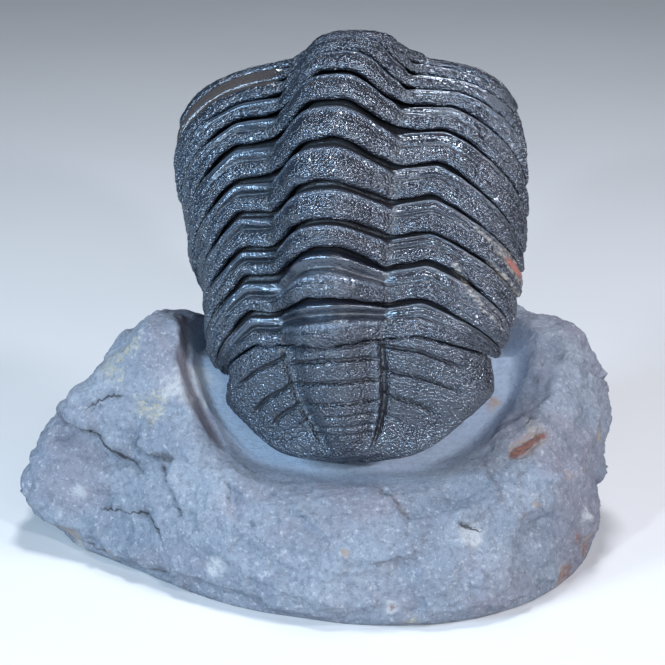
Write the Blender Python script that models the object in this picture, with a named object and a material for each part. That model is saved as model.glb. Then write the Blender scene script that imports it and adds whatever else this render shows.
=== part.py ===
"""An arched trilobite on its block of limestone: tail shield, eleven hinged thorax plates, head shield.

Sizes are in millimetres and are turned to metres where a mesh is made. The stone stands on z = 0 with
its cut base, the tail faces -Y, the head is on the far side of the arch, and +X is the animal's right.
"""

import math

import bmesh
import bpy
import numpy as np
from mathutils import Vector, noise

MM = 0.001

# Stations along the back: 0 is the tail tip, 1 the joint of tail and thorax, then one for each thorax
# plate from the rear, 12 the joint of thorax and head, and 13 the front of the head.
SEGMENTS = 11
NECK = SEGMENTS + 1
FRONT = NECK + 1
TAIL_LENGTH = 13.2
PLATE_LENGTHS = (4.7, 5.1, 2.8, 3.8, 4.7, 4.9, 4.2, 3.9, 4.1, 3.9, 4.1)
HEAD_LENGTH = 18.0
LENGTHS = (TAIL_LENGTH, *PLATE_LENGTHS, HEAD_LENGTH)
TAIL_TIP = (-14.9, 13.5)

# How far the back faces up: the angle of its outward direction above the horizontal, in degrees.
FACING = ((0, -26), (0.5, -9), (1, 4), (2, 20), (3, 34), (4, 32), (5, 35), (6, 47), (7, 55), (8, 66),
          (9, 79), (10, 92), (11, 107), (12, 123), (12.5, 158), (13, 177))

# The cross-section at a station: axis half width and height, outer edge and its drop, backward sweep.
AXIS_HALF = ((0, 1.6), (0.5, 3.9), (1, 4.8), (2, 6.0), (3, 5.85), (5, 6.45), (9, 6.6), (12, 6.3))
AXIS_HEIGHT = ((0, 0.6), (0.5, 2.0), (1, 2.7), (2, 3.7), (3, 4.05), (5, 4.1), (9, 3.9), (10, 3.6),
               (11, 2.8), (12, 1.8))
EDGE_HALF = ((0, 0.3), (0.12, 6.4), (0.3, 10.9), (0.6, 14.0), (1, 13.4), (2, 14.2), (3, 15.3), (4, 15.7),
             (5, 16.2), (7, 17.7), (9, 18.4), (11, 18.0), (12, 17.8), (12.5, 16.6), (12.85, 11.2), (13, 0.5))
EDGE_DROP = ((0, 0.1), (0.12, 0.5), (0.3, 3.1), (0.6, 6.7), (1, 8.9), (2, 9.1), (3, 10.9), (4, 11.7),
             (5, 13.2), (7, 14.2), (9, 12.1), (11, 10.6), (12, 9.0), (12.5, 7.7), (13, 0.2))
EDGE_SWEEP = ((0, 0.4), (1, 4.2), (2, 6.1), (4, 6.6), (6, 6.9), (8, 4.7), (10, 3.2), (12, 1.8), (13, 0.0))
RING_SWEEP = ((0, 0.1), (1, 0.3), (3, 1.1), (7, 1.2), (10, 1.0), (12, 0.5))
SIDEWAYS = ((0, 0.0), (8, 0.0), (10, -0.4), (12, -1.5), (13, -1.8))
TWIST = ((0, -3.9), (2, -1.3), (5, 0.4), (8, 2.8), (10, 3.9), (12, 5.8))

# How much wider the right and the left flank lie beyond their bends.
RIGHT_WIDER = ((0, 0.0), (0.6, 0.2), (1, 0.5), (2, 1.1), (4, 1.2), (6, 0.6), (8, 0.0))
LEFT_WIDER = ((0, 0.0), (7, 0.0), (9, 0.4), (12, 0.5), (13, 0.0))
BEND_AT = 0.68
INNER_SLOPE = 0.195
RING_FULLNESS = ((0, 1.6), (8, 1.6), (11, 2.1), (13, 2.1))

# Shares of the way from the midline (0) to the outer edge (1).
SHARE_AXIS = 0.4
SHARE_BEND = 0.68
SWEEP_FROM = 0.595
SWEEP_SOFT = 0.22
CORNER_SOFTNESS = 0.09

# How the whole body lies on the stone.
YAW = math.radians(-16.3)
LEAN = math.radians(-10.0)
LEAN_HEIGHT = 30.0
BODY_X = 4.8

# Shell plates: heights are over the smooth back, so a negative one lies below it.
PLATE_THICK = 2.0
THINNER_AT_END = 0.55
RIM_THICK = 0.7
RIM_LOW = -0.3

SHELL_COLOUR = (0.017, 0.018, 0.021, 1.0)
SHELL_ROUGHNESS = 0.32
STONE_COLOUR = (0.25, 0.30, 0.38, 1.0)
STONE_ROUGHNESS = 0.9


def smooth(at, points):
    """A monotone cubic through (station, value) points."""
    xs = np.array([p[0] for p in points], float)
    ys = np.array([p[1] for p in points], float)
    steps = np.diff(xs)
    slopes = np.diff(ys) / steps
    tangents = np.zeros_like(xs)
    tangents[0], tangents[-1] = slopes[0], slopes[-1]
    for i in range(1, len(xs) - 1):
        if slopes[i - 1] * slopes[i] > 0:
            before = 2 * steps[i] + steps[i - 1]
            after = steps[i] + 2 * steps[i - 1]
            tangents[i] = (before + after) / (before / slopes[i - 1] + after / slopes[i])
    at = np.clip(at, xs[0], xs[-1])
    i = np.clip(np.searchsorted(xs, at, side="right") - 1, 0, len(xs) - 2)
    t = (at - xs[i]) / steps[i]
    return (
        (2 * t**3 - 3 * t**2 + 1) * ys[i]
        + (t**3 - 2 * t**2 + t) * steps[i] * tangents[i]
        + (3 * t**2 - 2 * t**3) * ys[i + 1]
        + (t**3 - t**2) * steps[i] * tangents[i + 1]
    )


def step(low, high, value):
    """0 below low, 1 above high, smooth between."""
    t = np.clip((value - low) / (high - low), 0, 1)
    return t * t * (3 - 2 * t)


def bump(value, centre, width):
    return np.exp(-(((value - centre) / width) ** 2))


def walk_the_back():
    """Stations and the (y, z) places of the midline, walked from the tail tip."""
    count = 100 * FRONT
    stations = np.linspace(0, FRONT, count + 1)
    middles = (stations[1:] + stations[:-1]) / 2
    stride = np.array(LENGTHS)[middles.astype(int)] * FRONT / count
    facing = np.radians(smooth(middles, FACING))
    ys = TAIL_TIP[0] + np.concatenate(([0], np.cumsum(stride * np.sin(facing))))
    zs = TAIL_TIP[1] + np.concatenate(([0], np.cumsum(stride * np.cos(facing))))
    return stations, ys, zs


STATIONS, BACK_Y, BACK_Z = walk_the_back()


def section(q, u):
    """Sideways place and drop at station q, share u (0 to 1) of the way out, with its corners."""
    edge = smooth(q, EDGE_HALF)
    drop = smooth(q, EDGE_DROP)
    axis = np.minimum(smooth(q, AXIS_HALF), 0.45 * edge)
    height = np.minimum(smooth(q, AXIS_HEIGHT), 0.6 * drop)
    bend = BEND_AT * edge
    on_axis = np.clip(u / SHARE_AXIS, 0, 1)
    round_off = (1 - np.cos(math.pi * on_axis ** smooth(q, RING_FULLNESS))) / 2
    flat = np.clip((u - SHARE_AXIS) / (SHARE_BEND - SHARE_AXIS), 0, 1)
    turn = np.clip((u - SHARE_BEND) / (1 - SHARE_BEND), 0, 1) * math.pi / 2
    bend_drop = height + INNER_SLOPE * (bend - axis)
    x = axis * on_axis + (bend - axis) * flat + (edge - bend) * np.sin(turn) ** 0.9
    h = height * round_off + (bend_drop - height) * flat
    return x, h + (drop - bend_drop) * (1 - np.cos(turn)) ** 0.85


def rib(q, u):
    """Sideways place, drop and backward sweep at station q, share u (0 to 1) of the way out."""
    reach_out = CORNER_SOFTNESS * step(0.0, 0.2, 1 - u) * step(0.2, 0.4, u)
    before, here, after = section(q, u - reach_out), section(q, u), section(q, u + reach_out)
    x, h = [(a + b + c) / 3 for a, b, c in zip(before, here, after)]
    outward = np.clip((u - SWEEP_FROM) / (1 - SWEEP_FROM), 0, 1)
    outward = (1 + SWEEP_SOFT) * outward**2 / (outward + SWEEP_SOFT)
    on_axis = np.clip(u / SHARE_AXIS, 0, 1)
    ring_share = on_axis**2 * (1 - 0.6 * step(SHARE_AXIS - 0.05, SHARE_BEND + 0.1, u))
    return x, h, smooth(q, EDGE_SWEEP) * outward + smooth(q, RING_SWEEP) * ring_share


def to_world(p):
    """Leans and turns body points about the upright through the stone's middle."""
    lean = np.array(((math.cos(LEAN), 0, math.sin(LEAN)), (0, 1, 0), (-math.sin(LEAN), 0, math.cos(LEAN))))
    yaw = np.array(((math.cos(YAW), -math.sin(YAW), 0), (math.sin(YAW), math.cos(YAW), 0), (0, 0, 1)))
    pivot = np.array((0, 0, LEAN_HEIGHT))
    return (p - pivot) @ (yaw @ lean).T + pivot + np.array((BODY_X, 0, 0))


def back_surface(q, u):
    """The smooth surface of the back, before rings and furrows."""
    y, z = np.interp(q, STATIONS, BACK_Y), np.interp(q, STATIONS, BACK_Z)
    facing = np.radians(smooth(q, FACING))
    zero = np.zeros_like(facing)
    out = np.stack((zero, -np.cos(facing), np.sin(facing)), -1)
    ahead = np.stack((zero, np.sin(facing), np.cos(facing)), -1)
    x, h, sweep = rib(q, np.abs(u))
    wider = np.where(u > 0, smooth(q, RIGHT_WIDER), smooth(q, LEFT_WIDER))
    x = (x + wider * step(0.5, 1.0, np.abs(u))) * np.sign(u) + smooth(q, SIDEWAYS)
    twist = np.radians(smooth(q, TWIST))
    x, h = x * np.cos(twist) - h * np.sin(twist), h * np.cos(twist) + x * np.sin(twist)
    return to_world(np.stack((x, y, z), -1) - out * h[..., None] - ahead * sweep[..., None])


def lifted(q, u, n):
    """Points at height n above the back at station q and share u, along the surface's own normal."""
    q, u, n = np.broadcast_arrays(np.asarray(q, float), np.asarray(u, float), np.asarray(n, float))
    at, across = np.clip(q, 0.06, FRONT - 0.06), np.clip(u, -0.97, 0.97)
    along = back_surface(at + 0.04, across) - back_surface(at - 0.04, across)
    sideways = back_surface(at, across + 0.02) - back_surface(at, across - 0.02)
    normal = np.cross(sideways, along)
    normal /= np.linalg.norm(normal, axis=-1, keepdims=True)
    return back_surface(q, u) + normal * n[..., None]


def material(name, colour, roughness):
    made = bpy.data.materials.new(name)
    made.use_nodes = True
    shader = made.node_tree.nodes["Principled BSDF"]
    shader.inputs["Base Color"].default_value = colour
    shader.inputs["Roughness"].default_value = roughness
    shader.inputs["Metallic"].default_value = 0.0
    return made


def finish(name, bm, colour, roughness):
    """Turns a bmesh into the named object, with its own material and smooth shading."""
    bmesh.ops.recalc_face_normals(bm, faces=bm.faces)
    bmesh.ops.triangulate(bm, faces=bm.faces)
    if bm.calc_volume(signed=True) < 0:
        bmesh.ops.reverse_faces(bm, faces=bm.faces)
    mesh = bpy.data.meshes.new(name)
    bm.to_mesh(mesh)
    bm.free()
    mesh.shade_smooth()
    mesh.set_sharp_from_angle(angle=math.radians(40))
    obj = bpy.data.objects.new(name, mesh)
    bpy.context.scene.collection.objects.link(obj)
    mesh.materials.append(material(name, colour, roughness))
    return obj


def close_end(bm, upper, lower):
    """Fills an end loop with a strip of triangles between its upper and its lower edge."""
    while len(upper) > 1 or len(lower) > 1:
        across = (upper[1].co - lower[0].co).length if len(upper) > 1 else math.inf
        back = (upper[0].co - lower[1].co).length if len(lower) > 1 else math.inf
        bm.faces.new((upper[0], lower[0], upper[1] if across < back else lower[1]))
        if across < back:
            upper = upper[1:]
        else:
            lower = lower[1:]


def plate_mesh(upper, lower):
    """A closed plate from its upper and lower rows, each [column][row] from the front to the rear edge."""
    points = np.concatenate((upper, lower[:, ::-1]), axis=1)
    columns, rows = points.shape[:2]
    bm = bmesh.new()
    bmesh.ops.create_grid(bm, x_segments=columns - 1, y_segments=rows, size=1.0)
    placed = sorted(bm.verts, key=lambda v: (round(v.co.x, 5), round(v.co.y, 5)))
    for index, vert in enumerate(placed):
        column, row = divmod(index, rows + 1)
        vert.co = Vector(points[column, row % rows]) * MM
    ends = [placed[: rows], placed[-rows - 1 : -1]]
    targets = {placed[column * (rows + 1) + rows]: placed[column * (rows + 1)] for column in range(columns)}
    bmesh.ops.weld_verts(bm, targetmap=targets)
    for end in ends:
        close_end(bm, end[: upper.shape[1]], end[: upper.shape[1] - 1 : -1])
    return bm


def both_sides(columns):
    return [-c for c in reversed(columns[1:])] + list(columns)


def plate(name, columns, top, low):
    """Makes one plate from functions that give its upper and lower rows at a share u."""
    shares = both_sides(columns)
    bm = plate_mesh(np.array([top(u) for u in shares]), np.array([low(u) for u in shares]))
    finish(name, bm, SHELL_COLOUR, SHELL_ROUGHNESS)


# A thorax plate from front (s = 0) to rear edge (s = 1), reaching forward under the plate before it.
COLUMNS = (0, 0.18, 0.32, 0.4, 0.46, 0.57, 0.67, 0.77, 0.87, 0.945, 1.0)
TOP_ROWS = (0.0, 0.13, 0.26, 0.42, 0.6, 0.8, 0.97)
FRONT_LOW = -1.1
FRONT_THICK = 0.35
HALF_RING_REACH = 1.35
OVERHANG = 1.45
OVERHANG_LOW = -0.85
REAR_EDGE_LOW = -0.65
STEP_BACK = 1.75

# The half ring that slides under the next ring shows where a joint is open; its share of the length.
HALF_RING = 0.1
OPEN_HALF_RINGS = {10: 0.38, 11: 0.34}
HALF_RING_FURROW = -0.95
RING_REAR = ((0.68, 0.25), (0.88, 0.12), (1.0, -0.3))

# The flank rib from front to rear: a narrow front band, the furrow along it, and the broad rear band.
PLEURA = ((0.0, FRONT_LOW), (0.14, -0.5), (0.27, -0.3), (0.44, -0.85),
          (0.6, -0.2), (0.8, 0.1), (0.93, -0.02), (1.0, -0.35))
AXIAL_FURROW = 0.3
AXIAL_FURROW_WIDTH = 0.04

# The outer end of a plate is drawn in around this point of its length and thickness.
TIP_ROUND = 0.055
TIP_MIDDLE = 0.35
TIP_MIDDLE_LOW = -0.9


def ring_height(s, number):
    """Height of the axial ring over the back: hidden front, articulating half ring, furrow, ring."""
    half = OPEN_HALF_RINGS.get(number, HALF_RING)
    rows = ((0.0, FRONT_LOW), (half * 0.5, half - 0.75), (half, HALF_RING_FURROW), (half + 0.16, -0.2))
    return smooth(s, rows + RING_REAR)


def plate_height(s, u, number):
    """Ring on the axis, rib on the flank, and the furrow between them."""
    share = step(SHARE_AXIS - 0.06, SHARE_AXIS + 0.06, np.abs(u))
    furrow = AXIAL_FURROW * bump(np.abs(u), SHARE_AXIS, AXIAL_FURROW_WIDTH)
    return ring_height(s, number) * (1 - share) + smooth(s, PLEURA) * share - furrow


def station(s, rear):
    """Station of share s of the plate whose rear edge is at rear; ahead of its front it keeps its scale."""
    s = np.asarray(s, float)
    own, before = LENGTHS[rear], LENGTHS[rear + 1]
    return rear + 1 - np.where(s < 0, s * own / before, s)


def corner_round(u):
    """0 along a plate, growing to 0.68 at its outer end, where the outline is drawn in."""
    tip = max(0.0, (abs(u) - (1 - TIP_ROUND)) / TIP_ROUND)
    return 1 - math.sqrt(1 - 0.9 * tip * tip)


def reach(u):
    """How far a plate goes on under the plate before it; not at all at its outer end."""
    return HALF_RING_REACH * (1 - 0.9 * float(step(0.78, 0.96, abs(u))))


def thick(u):
    """Depth of a plate's inner side below the back; the plates thin out towards their ends."""
    return PLATE_THICK - THINNER_AT_END * float(step(0.75, 0.92, abs(u)))


def tucked_low(u):
    """Height of the hidden front edge, which lies under the plate before it."""
    return FRONT_THICK - thick(u)


def thorax_plate(number):
    """Plate number 1 sits behind the head and number 11 before the tail."""
    rear = NECK - number
    length = LENGTHS[rear]
    overhang = ((1 - OVERHANG / length, OVERHANG_LOW), (1.0, REAR_EDGE_LOW))
    tops = np.array(TOP_ROWS)

    def rows_at(s, n, u):
        corner = corner_round(u)
        s = TIP_MIDDLE + (np.array(s) - TIP_MIDDLE) * (1 - 0.5 * corner)
        n = TIP_MIDDLE_LOW + (np.array(n) - TIP_MIDDLE_LOW) * (1 - 0.45 * corner)
        return lifted(station(s, rear), u, n)

    def top(u):
        return rows_at((-reach(u) / length, *tops), (tucked_low(u), *plate_height(tops, u, number)), u)

    def low(u):
        rows = ((-reach(u) / length, -thick(u)), (1 - STEP_BACK / length, -thick(u)), *overhang)
        return rows_at([row[0] for row in rows], [row[1] for row in rows], u)

    plate(f"thoracic_segment_{number:02d}", COLUMNS, top, low)


# The tail shield: rings on the axis and ribs on the flanks, all fused. Its rows are stations.
TAIL_ROWS = (*np.linspace(0.96, 0.1, 13), 0.04, 0.015)
TAIL_LOW_ROWS = (0.9, 0.7, 0.5, 0.3, 0.12, 0.03)
TAIL_RING_COUNT = 8.2
TAIL_RING_HEIGHT = 0.28
TAIL_RIB_COUNT = 6.0
TAIL_RIB_HEIGHT = 0.3
TAIL_RIB_SLANT = 0.32
TAIL_FURROW = 0.7
TAIL_FURROW_WIDTH = 0.035
UPPER_EDGE = 14
LOWER_EDGE = 10


def tail_height(q, u):
    """Rings, ribs and the furrows beside the axis; all fade towards the plain border."""
    v = 1 - q
    out = np.abs(u)
    ring = TAIL_RING_HEIGHT * np.cos(2 * math.pi * (v * TAIL_RING_COUNT - 0.45)) * (1 - step(0.5, 0.85, v))
    along_rib = v - TAIL_RIB_SLANT * (out - SHARE_AXIS)
    rib_wave = TAIL_RIB_HEIGHT * np.cos(2 * math.pi * (along_rib * TAIL_RIB_COUNT - 0.5))
    rib_wave = rib_wave * (1 - step(0.35, 0.62, v)) * (1 - step(0.82, 0.95, out))
    share = step(SHARE_AXIS - 0.03, SHARE_AXIS + 0.05, out)
    furrow = TAIL_FURROW * bump(out, SHARE_AXIS, TAIL_FURROW_WIDTH) * (1 - step(0.65, 0.95, v))
    return ring * (1 - share) + rib_wave * share - furrow


def edge_fade(u, sharpness):
    """1 over a shield, falling to a quarter at its outer edge."""
    return math.sqrt(max(0.06, 1 - abs(u) ** sharpness))


def tail_shield():
    rows = np.array(TAIL_ROWS)
    low_rows = np.array(TAIL_LOW_ROWS)

    def ahead(u):
        return 1 + reach(u) / LENGTHS[1]

    def top(u):
        fade = step(0.0, 0.1, rows) * edge_fade(u, UPPER_EDGE)
        heights = tail_height(rows, u) * fade + RIM_LOW * (1 - fade)
        return lifted((ahead(u), 1.0, *rows), u, (tucked_low(u), FRONT_LOW, *heights))

    def low(u):
        fade = step(0.0, 0.14, low_rows) * edge_fade(u, LOWER_EDGE)
        heights = -RIM_THICK - (thick(u) - RIM_THICK) * fade
        return lifted((ahead(u), *low_rows), u, (-thick(u), *heights))

    plate("pygidium", COLUMNS, top, low)


# The head shield: a swollen lobe that widens forward, a ring behind it, and an eye on each side.
HEAD_COLUMNS = (0, 0.12, 0.24, 0.34, 0.4, 0.46, 0.52, 0.58, 0.64, 0.7, 0.77, 0.85, 0.93, 1.0)
HEAD_ROWS = (12.975, *np.linspace(12.93, 12.01, 15))
HEAD_LOW_ROWS = (12.97, 12.86, 12.7, 12.5, 12.3, 12.1)
LOBE_HALF = 0.34
LOBE_WIDENS = 0.2
LOBE_HEIGHT = 3.0
NECK_RING_HEIGHT = 0.45
NECK_FURROW = 0.7
CHEEK_FURROW = 0.6
BORDER_HEIGHT = 0.5
FRONT_RIM_HEIGHT = 0.6
EYE_STATION = 12.4
EYE_SHARE = 0.61
EYE_LONG = 0.21
EYE_WIDE = 0.105
EYE_CURVE = 0.05
EYE_HEIGHT = 3.0


def head_height(q, u):
    """Neck ring, deep furrow, swollen lobe, cheek and raised border."""
    v = q - NECK
    out = np.abs(u)
    lobe_half = LOBE_HALF + LOBE_WIDENS * step(0.15, 0.75, v)
    inside = 1 - step(lobe_half - 0.07, lobe_half + 0.03, out)
    lobe = LOBE_HEIGHT * step(0.13, 0.45, v) * (1 - step(0.84, 0.97, v)) * inside
    ring = NECK_RING_HEIGHT * bump(v, 0.055, 0.05) * (1 - step(0.4, 0.46, out))
    furrow = NECK_FURROW * bump(v, 0.135, 0.025)
    furrow = furrow + CHEEK_FURROW * bump(out, lobe_half + 0.03, 0.03) * step(0.05, 0.2, v)
    border = BORDER_HEIGHT * bump(out, 0.97, 0.05) * (1 - step(0.8, 0.9, v))
    return lobe + ring - furrow * (1 - step(0.85, 0.95, v)) + border + FRONT_RIM_HEIGHT * step(0.9, 0.96, v)


def eye_height(q, u):
    """A kidney-shaped mound with steep sides."""
    v = (q - EYE_STATION) / EYE_LONG
    out = (np.abs(u) - EYE_SHARE - EYE_CURVE * v * v) / EYE_WIDE
    return EYE_HEIGHT * (np.clip(1 - v * v, 0, 1) * np.clip(1 - out * out, 0, 1)) ** 0.7


def head_shield():
    rows = np.array(HEAD_ROWS)
    low_rows = np.array(HEAD_LOW_ROWS)
    rear = (NECK + OVERHANG / HEAD_LENGTH, NECK)

    def top(u):
        fade = edge_fade(u, UPPER_EDGE) * step(0.0, 0.05, FRONT - rows)
        return lifted(rows, u, (head_height(rows, u) + eye_height(rows, u)) * fade + RIM_LOW * (1 - fade))

    def low(u):
        fade = step(0.0, 0.14, FRONT - low_rows) * edge_fade(u, LOWER_EDGE)
        heights = -RIM_THICK - (PLATE_THICK - RIM_THICK) * fade
        return lifted((*low_rows, *rear), u, (*heights, OVERHANG_LOW, REAR_EDGE_LOW))

    plate("cephalon", HEAD_COLUMNS, top, low)


# The stone, described by the direction from its middle: (angle, value) points, 0 along +X.
STONE_MIDDLE = (2.0, 2.0)
OUTLINE = ((0, 28.0), (35, 27.0), (60, 25.5), (90, 24.5), (115, 25.0), (140, 26.5), (165, 30.2), (187, 33.2),
           (203, 26.8), (215, 24.4), (231, 23.3), (257, 23.5), (278, 25.0), (297, 26.6), (317, 27.4),
           (341, 27.5), (360, 28.0))
SHOULDER_AT = ((0, 0.86), (35, 0.76), (60, 0.76), (90, 0.82), (140, 0.74), (165, 0.62), (187, 0.58),
               (203, 0.62), (231, 0.7), (257, 0.83), (297, 0.84), (317, 0.8), (341, 0.84), (360, 0.86))
SHOULDER_HEIGHT = ((0, 21.5), (35, 20.0), (60, 18.0), (90, 17.0), (140, 18.3), (165, 22.0), (187, 22.8),
                   (203, 18.5), (231, 12.6), (257, 10.2), (297, 10.0), (317, 12.4), (341, 17.4), (360, 21.5))
ROUNDNESS = ((0, 1.0), (60, 0.9), (140, 0.5), (165, 0.2), (187, 0.2), (215, 0.5), (257, 0.9), (360, 1.0))
BULGE_HEIGHT = ((0, 11.0), (60, 7.0), (140, 6.5), (187, 6.0), (203, 3.2), (257, 2.6), (297, 2.6), (341, 6.0),
                (360, 11.0))
FOOT_AT = ((0, 0.96), (90, 0.92), (165, 0.9), (187, 0.84), (203, 0.93), (257, 0.97), (317, 0.99), (341, 0.99),
           (360, 0.96))
MIDDLE_HEIGHT = 22.0
STONE_AROUND = 41
STONE_ROWS = 20

# Shares of the rows from the middle of the top to the middle of the base.
SHOULDER_ROW = 0.5
BULGE_ROW = 0.75
FOOT_ROW = 0.86

MOAT_MIDDLE = (4.2, 0.5)
MOAT_HALF = (18.4, 17.0)
MOAT_DEPTH = 3.2
MOAT_LAST_ROW = 0.72

LUMP_SIZE = 6.0
LUMP_HEIGHT = 1.3
LEDGE_SIZE = 5.0
LEDGE_DEPTH = 1.6
ROUGH_RISE = 0.35
ROUGH_CENTRE_HEIGHT = 9.0


def moat(x, y):
    """How deep the smooth trench around the fossil is cut at a place; it rises gently at the front."""
    e = math.hypot((x - MOAT_MIDDLE[0]) / MOAT_HALF[0], (y - MOAT_MIDDLE[1]) / MOAT_HALF[1])
    front = step(0.0, 1.0, (MOAT_MIDDLE[1] - y) / MOAT_HALF[1])
    return MOAT_DEPTH * float(1 - step(0.86 - 0.3 * front, 1.02 + 0.06 * front, e))


def stone_point(angle, row):
    """A point of the stone's skin; row runs from 0 (middle of the top) to 1 (middle of the base)."""
    outer = float(smooth(angle, OUTLINE))
    shoulder = float(smooth(angle, SHOULDER_AT))
    high = float(smooth(angle, SHOULDER_HEIGHT))
    bulge = float(smooth(angle, BULGE_HEIGHT))
    foot = float(smooth(angle, FOOT_AT))
    roundness = float(smooth(angle, ROUNDNESS))
    if row < SHOULDER_ROW:
        share = row / SHOULDER_ROW
        out, z = shoulder * share, MIDDLE_HEIGHT + (high - MIDDLE_HEIGHT) * share
    elif row < BULGE_ROW:
        share = (row - SHOULDER_ROW) / (BULGE_ROW - SHOULDER_ROW)
        turn = share * math.pi / 2
        out = shoulder + (1 - shoulder) * (roundness * math.sin(turn) ** 0.9 + (1 - roundness) * share)
        z = high + (bulge - high) * (roundness * (1 - math.cos(turn)) ** 0.8 + (1 - roundness) * share)
    elif row < FOOT_ROW:
        share = (row - BULGE_ROW) / (FOOT_ROW - BULGE_ROW)
        out, z = 1 + (foot - 1) * share**1.5, bulge * (1 - share)
    else:
        out, z = foot * (1 - row) / (1 - FOOT_ROW), 0.0
    x = STONE_MIDDLE[0] + outer * out * math.cos(math.radians(angle))
    y = STONE_MIDDLE[1] + outer * out * math.sin(math.radians(angle))
    return x, y, z


def roughen(x, y, z):
    """Broken lumps and ledges; hardly any in the moat and none on the flat base."""
    outside_moat = 1 - min(1.0, moat(x, y) / (MOAT_DEPTH / 2))
    strength = min(1.0, z / 2.0) * (0.15 + 0.85 * outside_moat)
    lump = noise.fractal(Vector((x, y * 1.1, z)) / LUMP_SIZE, 0.9, 2.2, 4)
    ledge = abs(noise.noise(Vector((x + 0.6 * z, y, z * 1.6)) / LEDGE_SIZE + Vector((7.0, 3.0, 1.0))))
    return strength * (LUMP_HEIGHT * lump - LEDGE_DEPTH * ledge + ROUGH_RISE)


def stone_block():
    """The block: a ball whose rings are drawn out to the stone's outline, with the moat cut into its top."""
    bm = bmesh.new()
    bmesh.ops.create_uvsphere(bm, u_segments=STONE_AROUND, v_segments=STONE_ROWS, radius=1.0)
    middle = Vector((*STONE_MIDDLE, ROUGH_CENTRE_HEIGHT))
    for vert in bm.verts:
        row = math.acos(max(-1.0, min(1.0, vert.co.z))) / math.pi
        angle = math.degrees(math.atan2(vert.co.y, vert.co.x)) % 360
        x, y, z = stone_point(angle, row)
        if z > 0:
            z -= moat(x, y) if row < MOAT_LAST_ROW else 0.0
            out = (Vector((x, y, z)) - middle).normalized()
            place = Vector((x, y, z)) + out * roughen(x, y, z)
            x, y, z = place.x, place.y, max(place.z, 0.0)
        vert.co = Vector((x, y, z)) * MM
    return bm


# The stone that fills the arch: it follows the inside of the plates, and its sides and ends draw in to
# one line deep in the block.
FILLING_ROWS = (0.45, 0.7, 1.0, 1.6, 2.4, 3.2, 4.0, 4.8, 5.6, 6.4, 7.2, 8.0, 8.8, 9.6, 10.4, 11.2, 11.9,
                12.25, 12.5, 12.7)
FILLING_COLUMNS = (0, 0.2, 0.36, 0.44, 0.6, 0.74, 0.85, 0.935)
FILLING_DEPTH = 2.9
FILLING_RISE_AT_EDGE = 0.25
FILLING_NARROWS = 0.25
CORE_HALF = 7.0
CORE_Y = 11.0
CORE_Z = 3.0


def arch_filling():
    """The inside of the plates as a curved sheet, closed to the core line below it."""
    rows = np.array(FILLING_ROWS)
    shares = np.array(both_sides(FILLING_COLUMNS))
    depth = FILLING_DEPTH - FILLING_RISE_AT_EDGE * step(0.8, 0.95, np.abs(shares))
    narrower = 1 - FILLING_NARROWS * (1 - step(0.5, 1.8, rows))
    points = lifted(rows[:, None], shares[None, :] * narrower[:, None], -depth[None, :])
    bm = bmesh.new()
    bmesh.ops.create_grid(bm, x_segments=len(rows) - 1, y_segments=len(shares) - 1, size=1.0)
    placed = sorted(bm.verts, key=lambda v: (round(v.co.x, 5), round(v.co.y, 5)))
    share_of = {}
    for index, vert in enumerate(placed):
        row, column = divmod(index, len(shares))
        vert.co = Vector(points[row, column]) * MM
        share_of[vert] = shares[column] / FILLING_COLUMNS[-1]
    for first, second in [e.verts for e in bm.edges if e.is_boundary]:
        cores = [to_world(np.array((share_of[v] * CORE_HALF, CORE_Y, CORE_Z))) for v in (second, first)]
        bm.faces.new((first, second, *[bm.verts.new(Vector(core) * MM) for core in cores]))
    bmesh.ops.remove_doubles(bm, verts=bm.verts, dist=1e-7)
    bmesh.ops.dissolve_degenerate(bm, edges=bm.edges, dist=1e-7)
    return bm


def matrix():
    """The block and the stone that fills the arch, as one stone."""
    block = finish("matrix", stone_block(), STONE_COLOUR, STONE_ROUGHNESS)
    filling = finish("arch_filling", arch_filling(), STONE_COLOUR, STONE_ROUGHNESS)
    filling.hide_render = True
    filling.display_type = "WIRE"
    union = block.modifiers.new("filling", "BOOLEAN")
    union.operation = "UNION"
    union.solver = "EXACT"
    union.object = filling


def main():
    for obj in list(bpy.data.objects):
        bpy.data.objects.remove(obj)
    matrix()
    tail_shield()
    for number in range(1, SEGMENTS + 1):
        thorax_plate(number)
    head_shield()


main()
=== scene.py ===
"""The looks of an arched trilobite on its block of limestone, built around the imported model.

The shell plates and the stone are made again with a fine surface, each in place of its own solid. Sizes
in the shapes' own functions are in millimetres and are turned to metres where a mesh is made. The tail
faces -Y, the head is on the far side of the arch, and +X is the animal's right.
"""

import math

import bmesh
import bpy
import numpy as np
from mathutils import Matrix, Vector, noise


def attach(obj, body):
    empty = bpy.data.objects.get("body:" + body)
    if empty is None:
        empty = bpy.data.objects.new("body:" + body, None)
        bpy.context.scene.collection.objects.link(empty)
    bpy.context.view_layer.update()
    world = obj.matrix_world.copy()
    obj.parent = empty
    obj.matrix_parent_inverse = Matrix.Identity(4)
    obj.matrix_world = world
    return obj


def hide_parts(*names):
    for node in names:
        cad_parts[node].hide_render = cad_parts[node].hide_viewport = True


bl_info = {
    "name": "Arched trilobite on limestone",
    "version": (1, 0, 0),
    "blender": (4, 5, 0),
    "location": "View3D > Sidebar > Fossil",
    "description": "Makes the shell plates, the stone and the stage of an arched trilobite",
    "category": "Mesh",
}

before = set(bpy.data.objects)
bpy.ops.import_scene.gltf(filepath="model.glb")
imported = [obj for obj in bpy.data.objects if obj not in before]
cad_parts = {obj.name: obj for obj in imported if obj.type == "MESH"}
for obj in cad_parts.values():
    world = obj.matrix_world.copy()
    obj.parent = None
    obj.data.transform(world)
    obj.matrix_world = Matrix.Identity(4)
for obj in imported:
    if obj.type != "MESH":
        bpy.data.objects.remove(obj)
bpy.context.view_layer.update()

MM = 0.001
BODY = "root"

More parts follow.
